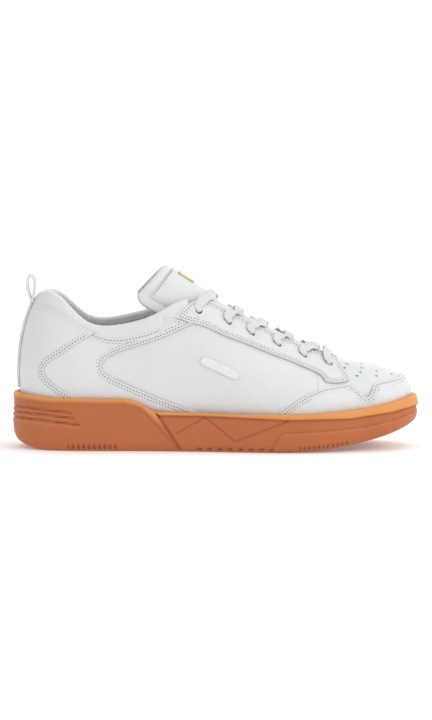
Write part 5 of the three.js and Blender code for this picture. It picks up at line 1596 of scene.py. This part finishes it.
BADGE = {"x": 4.0, "z": 61.0, "length": 30.0, "height": 7.0, "slope": -0.42}
for side, side_name in SIDE_NAMES.items():
    direction = np.array([math.cos(BADGE["slope"]), math.sin(BADGE["slope"])])
    upward = np.array([-direction[1], direction[0]])
    reach = BADGE["length"] / 2 - 0.3
    stations = np.linspace(-reach, reach, 44)
    end_round = BADGE["height"] / 2
    straight = BADGE["length"] / 2 - end_round
    half_at = np.sqrt(np.maximum(end_round**2 - np.maximum(np.abs(stations) - straight, 0) ** 2, 0.2))
    centre = np.array([BADGE["x"], BADGE["z"]])
    upper = centre + direction * stations[:, None] + upward * half_at[:, None]
    lower = centre + direction * stations[:, None] - upward * half_at[:, None]
    upper, lower = locate(upper, side), locate(lower, side)
    level = np.full(len(upper), 0.55)
    starts = layer(upper[:, 0], upper[:, 1], level)
    ends = layer(lower[:, 0], lower[:, 1], level)
    badge = threads("badge_" + side_name, starts, ends, normal(upper[:, 0], upper[:, 1]), THREAD, radius=0.5,
                    finish="white_webbing")
    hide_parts("badge_" + side_name)

LABEL = {"from": -26.5, "to": -15.5, "half": 6.5, "line": 1.5}


def label_bar(name, t0, t1, a0, a1, rows=26, columns=18):
    """A thin raised foil bar on the tongue between two shares of its length and two distances across."""
    t = np.linspace(t0, t1, rows)[:, None] * np.ones((1, columns))
    a = np.linspace(a0, a1, columns)[None, :] * np.ones((rows, 1))
    edge = np.minimum(np.minimum(a - a0, a1 - a), np.minimum(t - t0, t1 - t) * RIDGE_LENGTH)
    top = tongue_point(t, a, tongue_top_depth(t, a, np.full_like(t, 40.0)) - 0.3 - 0.35 * rounded(edge, 0.4))
    low = tongue_point(t, a, tongue_top_depth(t, a, np.full_like(t, 40.0)) + 0.4)
    piece = slab(name, top, low, GOLD, body="tongue_top")
    return piece


t_low, t_high = ridge_at(LABEL["to"]), ridge_at(LABEL["from"])
line_t = LABEL["line"] / RIDGE_LENGTH
bars = [label_bar("tongue_label", t_high - line_t, t_high, -LABEL["half"], LABEL["half"]),
        label_bar("tongue_label_lower", t_low, t_low + line_t, -LABEL["half"], LABEL["half"]),
        label_bar("tongue_label_lateral", t_low, t_high, -LABEL["half"], -LABEL["half"] + LABEL["line"]),
        label_bar("tongue_label_medial", t_low, t_high, LABEL["half"] - LABEL["line"], LABEL["half"])]
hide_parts("tongue_label")


# ---- Stage, light and camera ----------------------------------------------------------------------

CAMERA_DISTANCE, CAMERA_ELEVATION = 5.0, 5.0
CAMERA_TARGET = (0.00065, 0.0, 0.0637)
SEEN_HEIGHT = 0.531
SENSOR = 36.0


def area_light(name, place, aim, size, power):
    data = bpy.data.lights.new(name, "AREA")
    data.shape, data.size, data.energy = "DISK", size, power
    lamp = bpy.data.objects.new(name, data)
    lamp.location = place
    lamp.rotation_euler = (Vector(aim) - Vector(place)).to_track_quat("-Z", "Y").to_euler()
    bpy.context.scene.collection.objects.link(lamp)


def studio():
    floor_look = Look("pale floor", Specular_IOR_Level=0.2, Emission_Strength=0.16)
    floor_look.set(floor_look.shader.inputs["Emission Color"], (1.0, 1.0, 1.0))
    floor_look.colour(floor_look.blend(floor_look.spread(floor_look.noise(3), 0.3, 0.7),
                                       (0.92, 0.92, 0.92), (0.90, 0.90, 0.90)))
    floor_look.rough(floor_look.spread(floor_look.noise(40), 0.3, 0.7, 0.75, 0.85))
    side, depth = 6.0, 9.0
    corners = np.array([[-side, -side, 0], [side, -side, 0], [side, depth, 0], [-side, depth, 0]]) / MM
    floor = make("floor", corners - SHIFT, np.array([[0, 1, 2, 3]]), floor_look.material, body=None)
    backdrop_look = Look("white backdrop", Emission_Strength=1.1)
    backdrop_look.colour(backdrop_look.blend(backdrop_look.noise(2), (0.9, 0.9, 0.9), (0.92, 0.92, 0.92)))
    backdrop_look.set(backdrop_look.shader.inputs["Emission Color"], (1.0, 1.0, 1.0))
    wall = np.array([[-side, depth, 0], [side, depth, 0], [side, depth, 6], [-side, depth, 6]]) / MM
    backdrop = make("backdrop", wall - SHIFT, np.array([[0, 1, 2, 3]]), backdrop_look.material, body=None)
    world = bpy.data.worlds.new("studio")
    bpy.context.scene.world = world
    world.use_nodes = True
    background = world.node_tree.nodes["Background"]
    background.inputs["Color"].default_value = (1.0, 1.0, 1.0, 1)
    background.inputs["Strength"].default_value = 0.76
    area_light("key", (1.5, -1.1, 1.15), (0.02, 0, 0.05), 0.9, 10.5)
    area_light("fill", (-1.2, -1.4, 0.8), (0, 0, 0.06), 1.0, 1.5)
    area_light("top", (0.5, 0.3, 1.6), (0, 0, 0), 1.2, 5)


def photo_camera():
    data = bpy.data.cameras.new("camera")
    data.sensor_fit, data.sensor_height, data.sensor_width = "VERTICAL", SENSOR, SENSOR
    data.lens = SENSOR * CAMERA_DISTANCE / SEEN_HEIGHT
    data.clip_end = 60
    camera = bpy.data.objects.new("camera", data)
    tilt = math.radians(CAMERA_ELEVATION)
    target = Vector(CAMERA_TARGET)
    camera.location = target + Vector((0, -math.cos(tilt), math.sin(tilt))) * CAMERA_DISTANCE
    camera.rotation_euler = (target - camera.location).to_track_quat("-Z", "Y").to_euler()
    bpy.context.scene.collection.objects.link(camera)
    bpy.context.scene.camera = camera


studio()
photo_camera()
bpy.context.scene.view_settings.view_transform = "Standard"
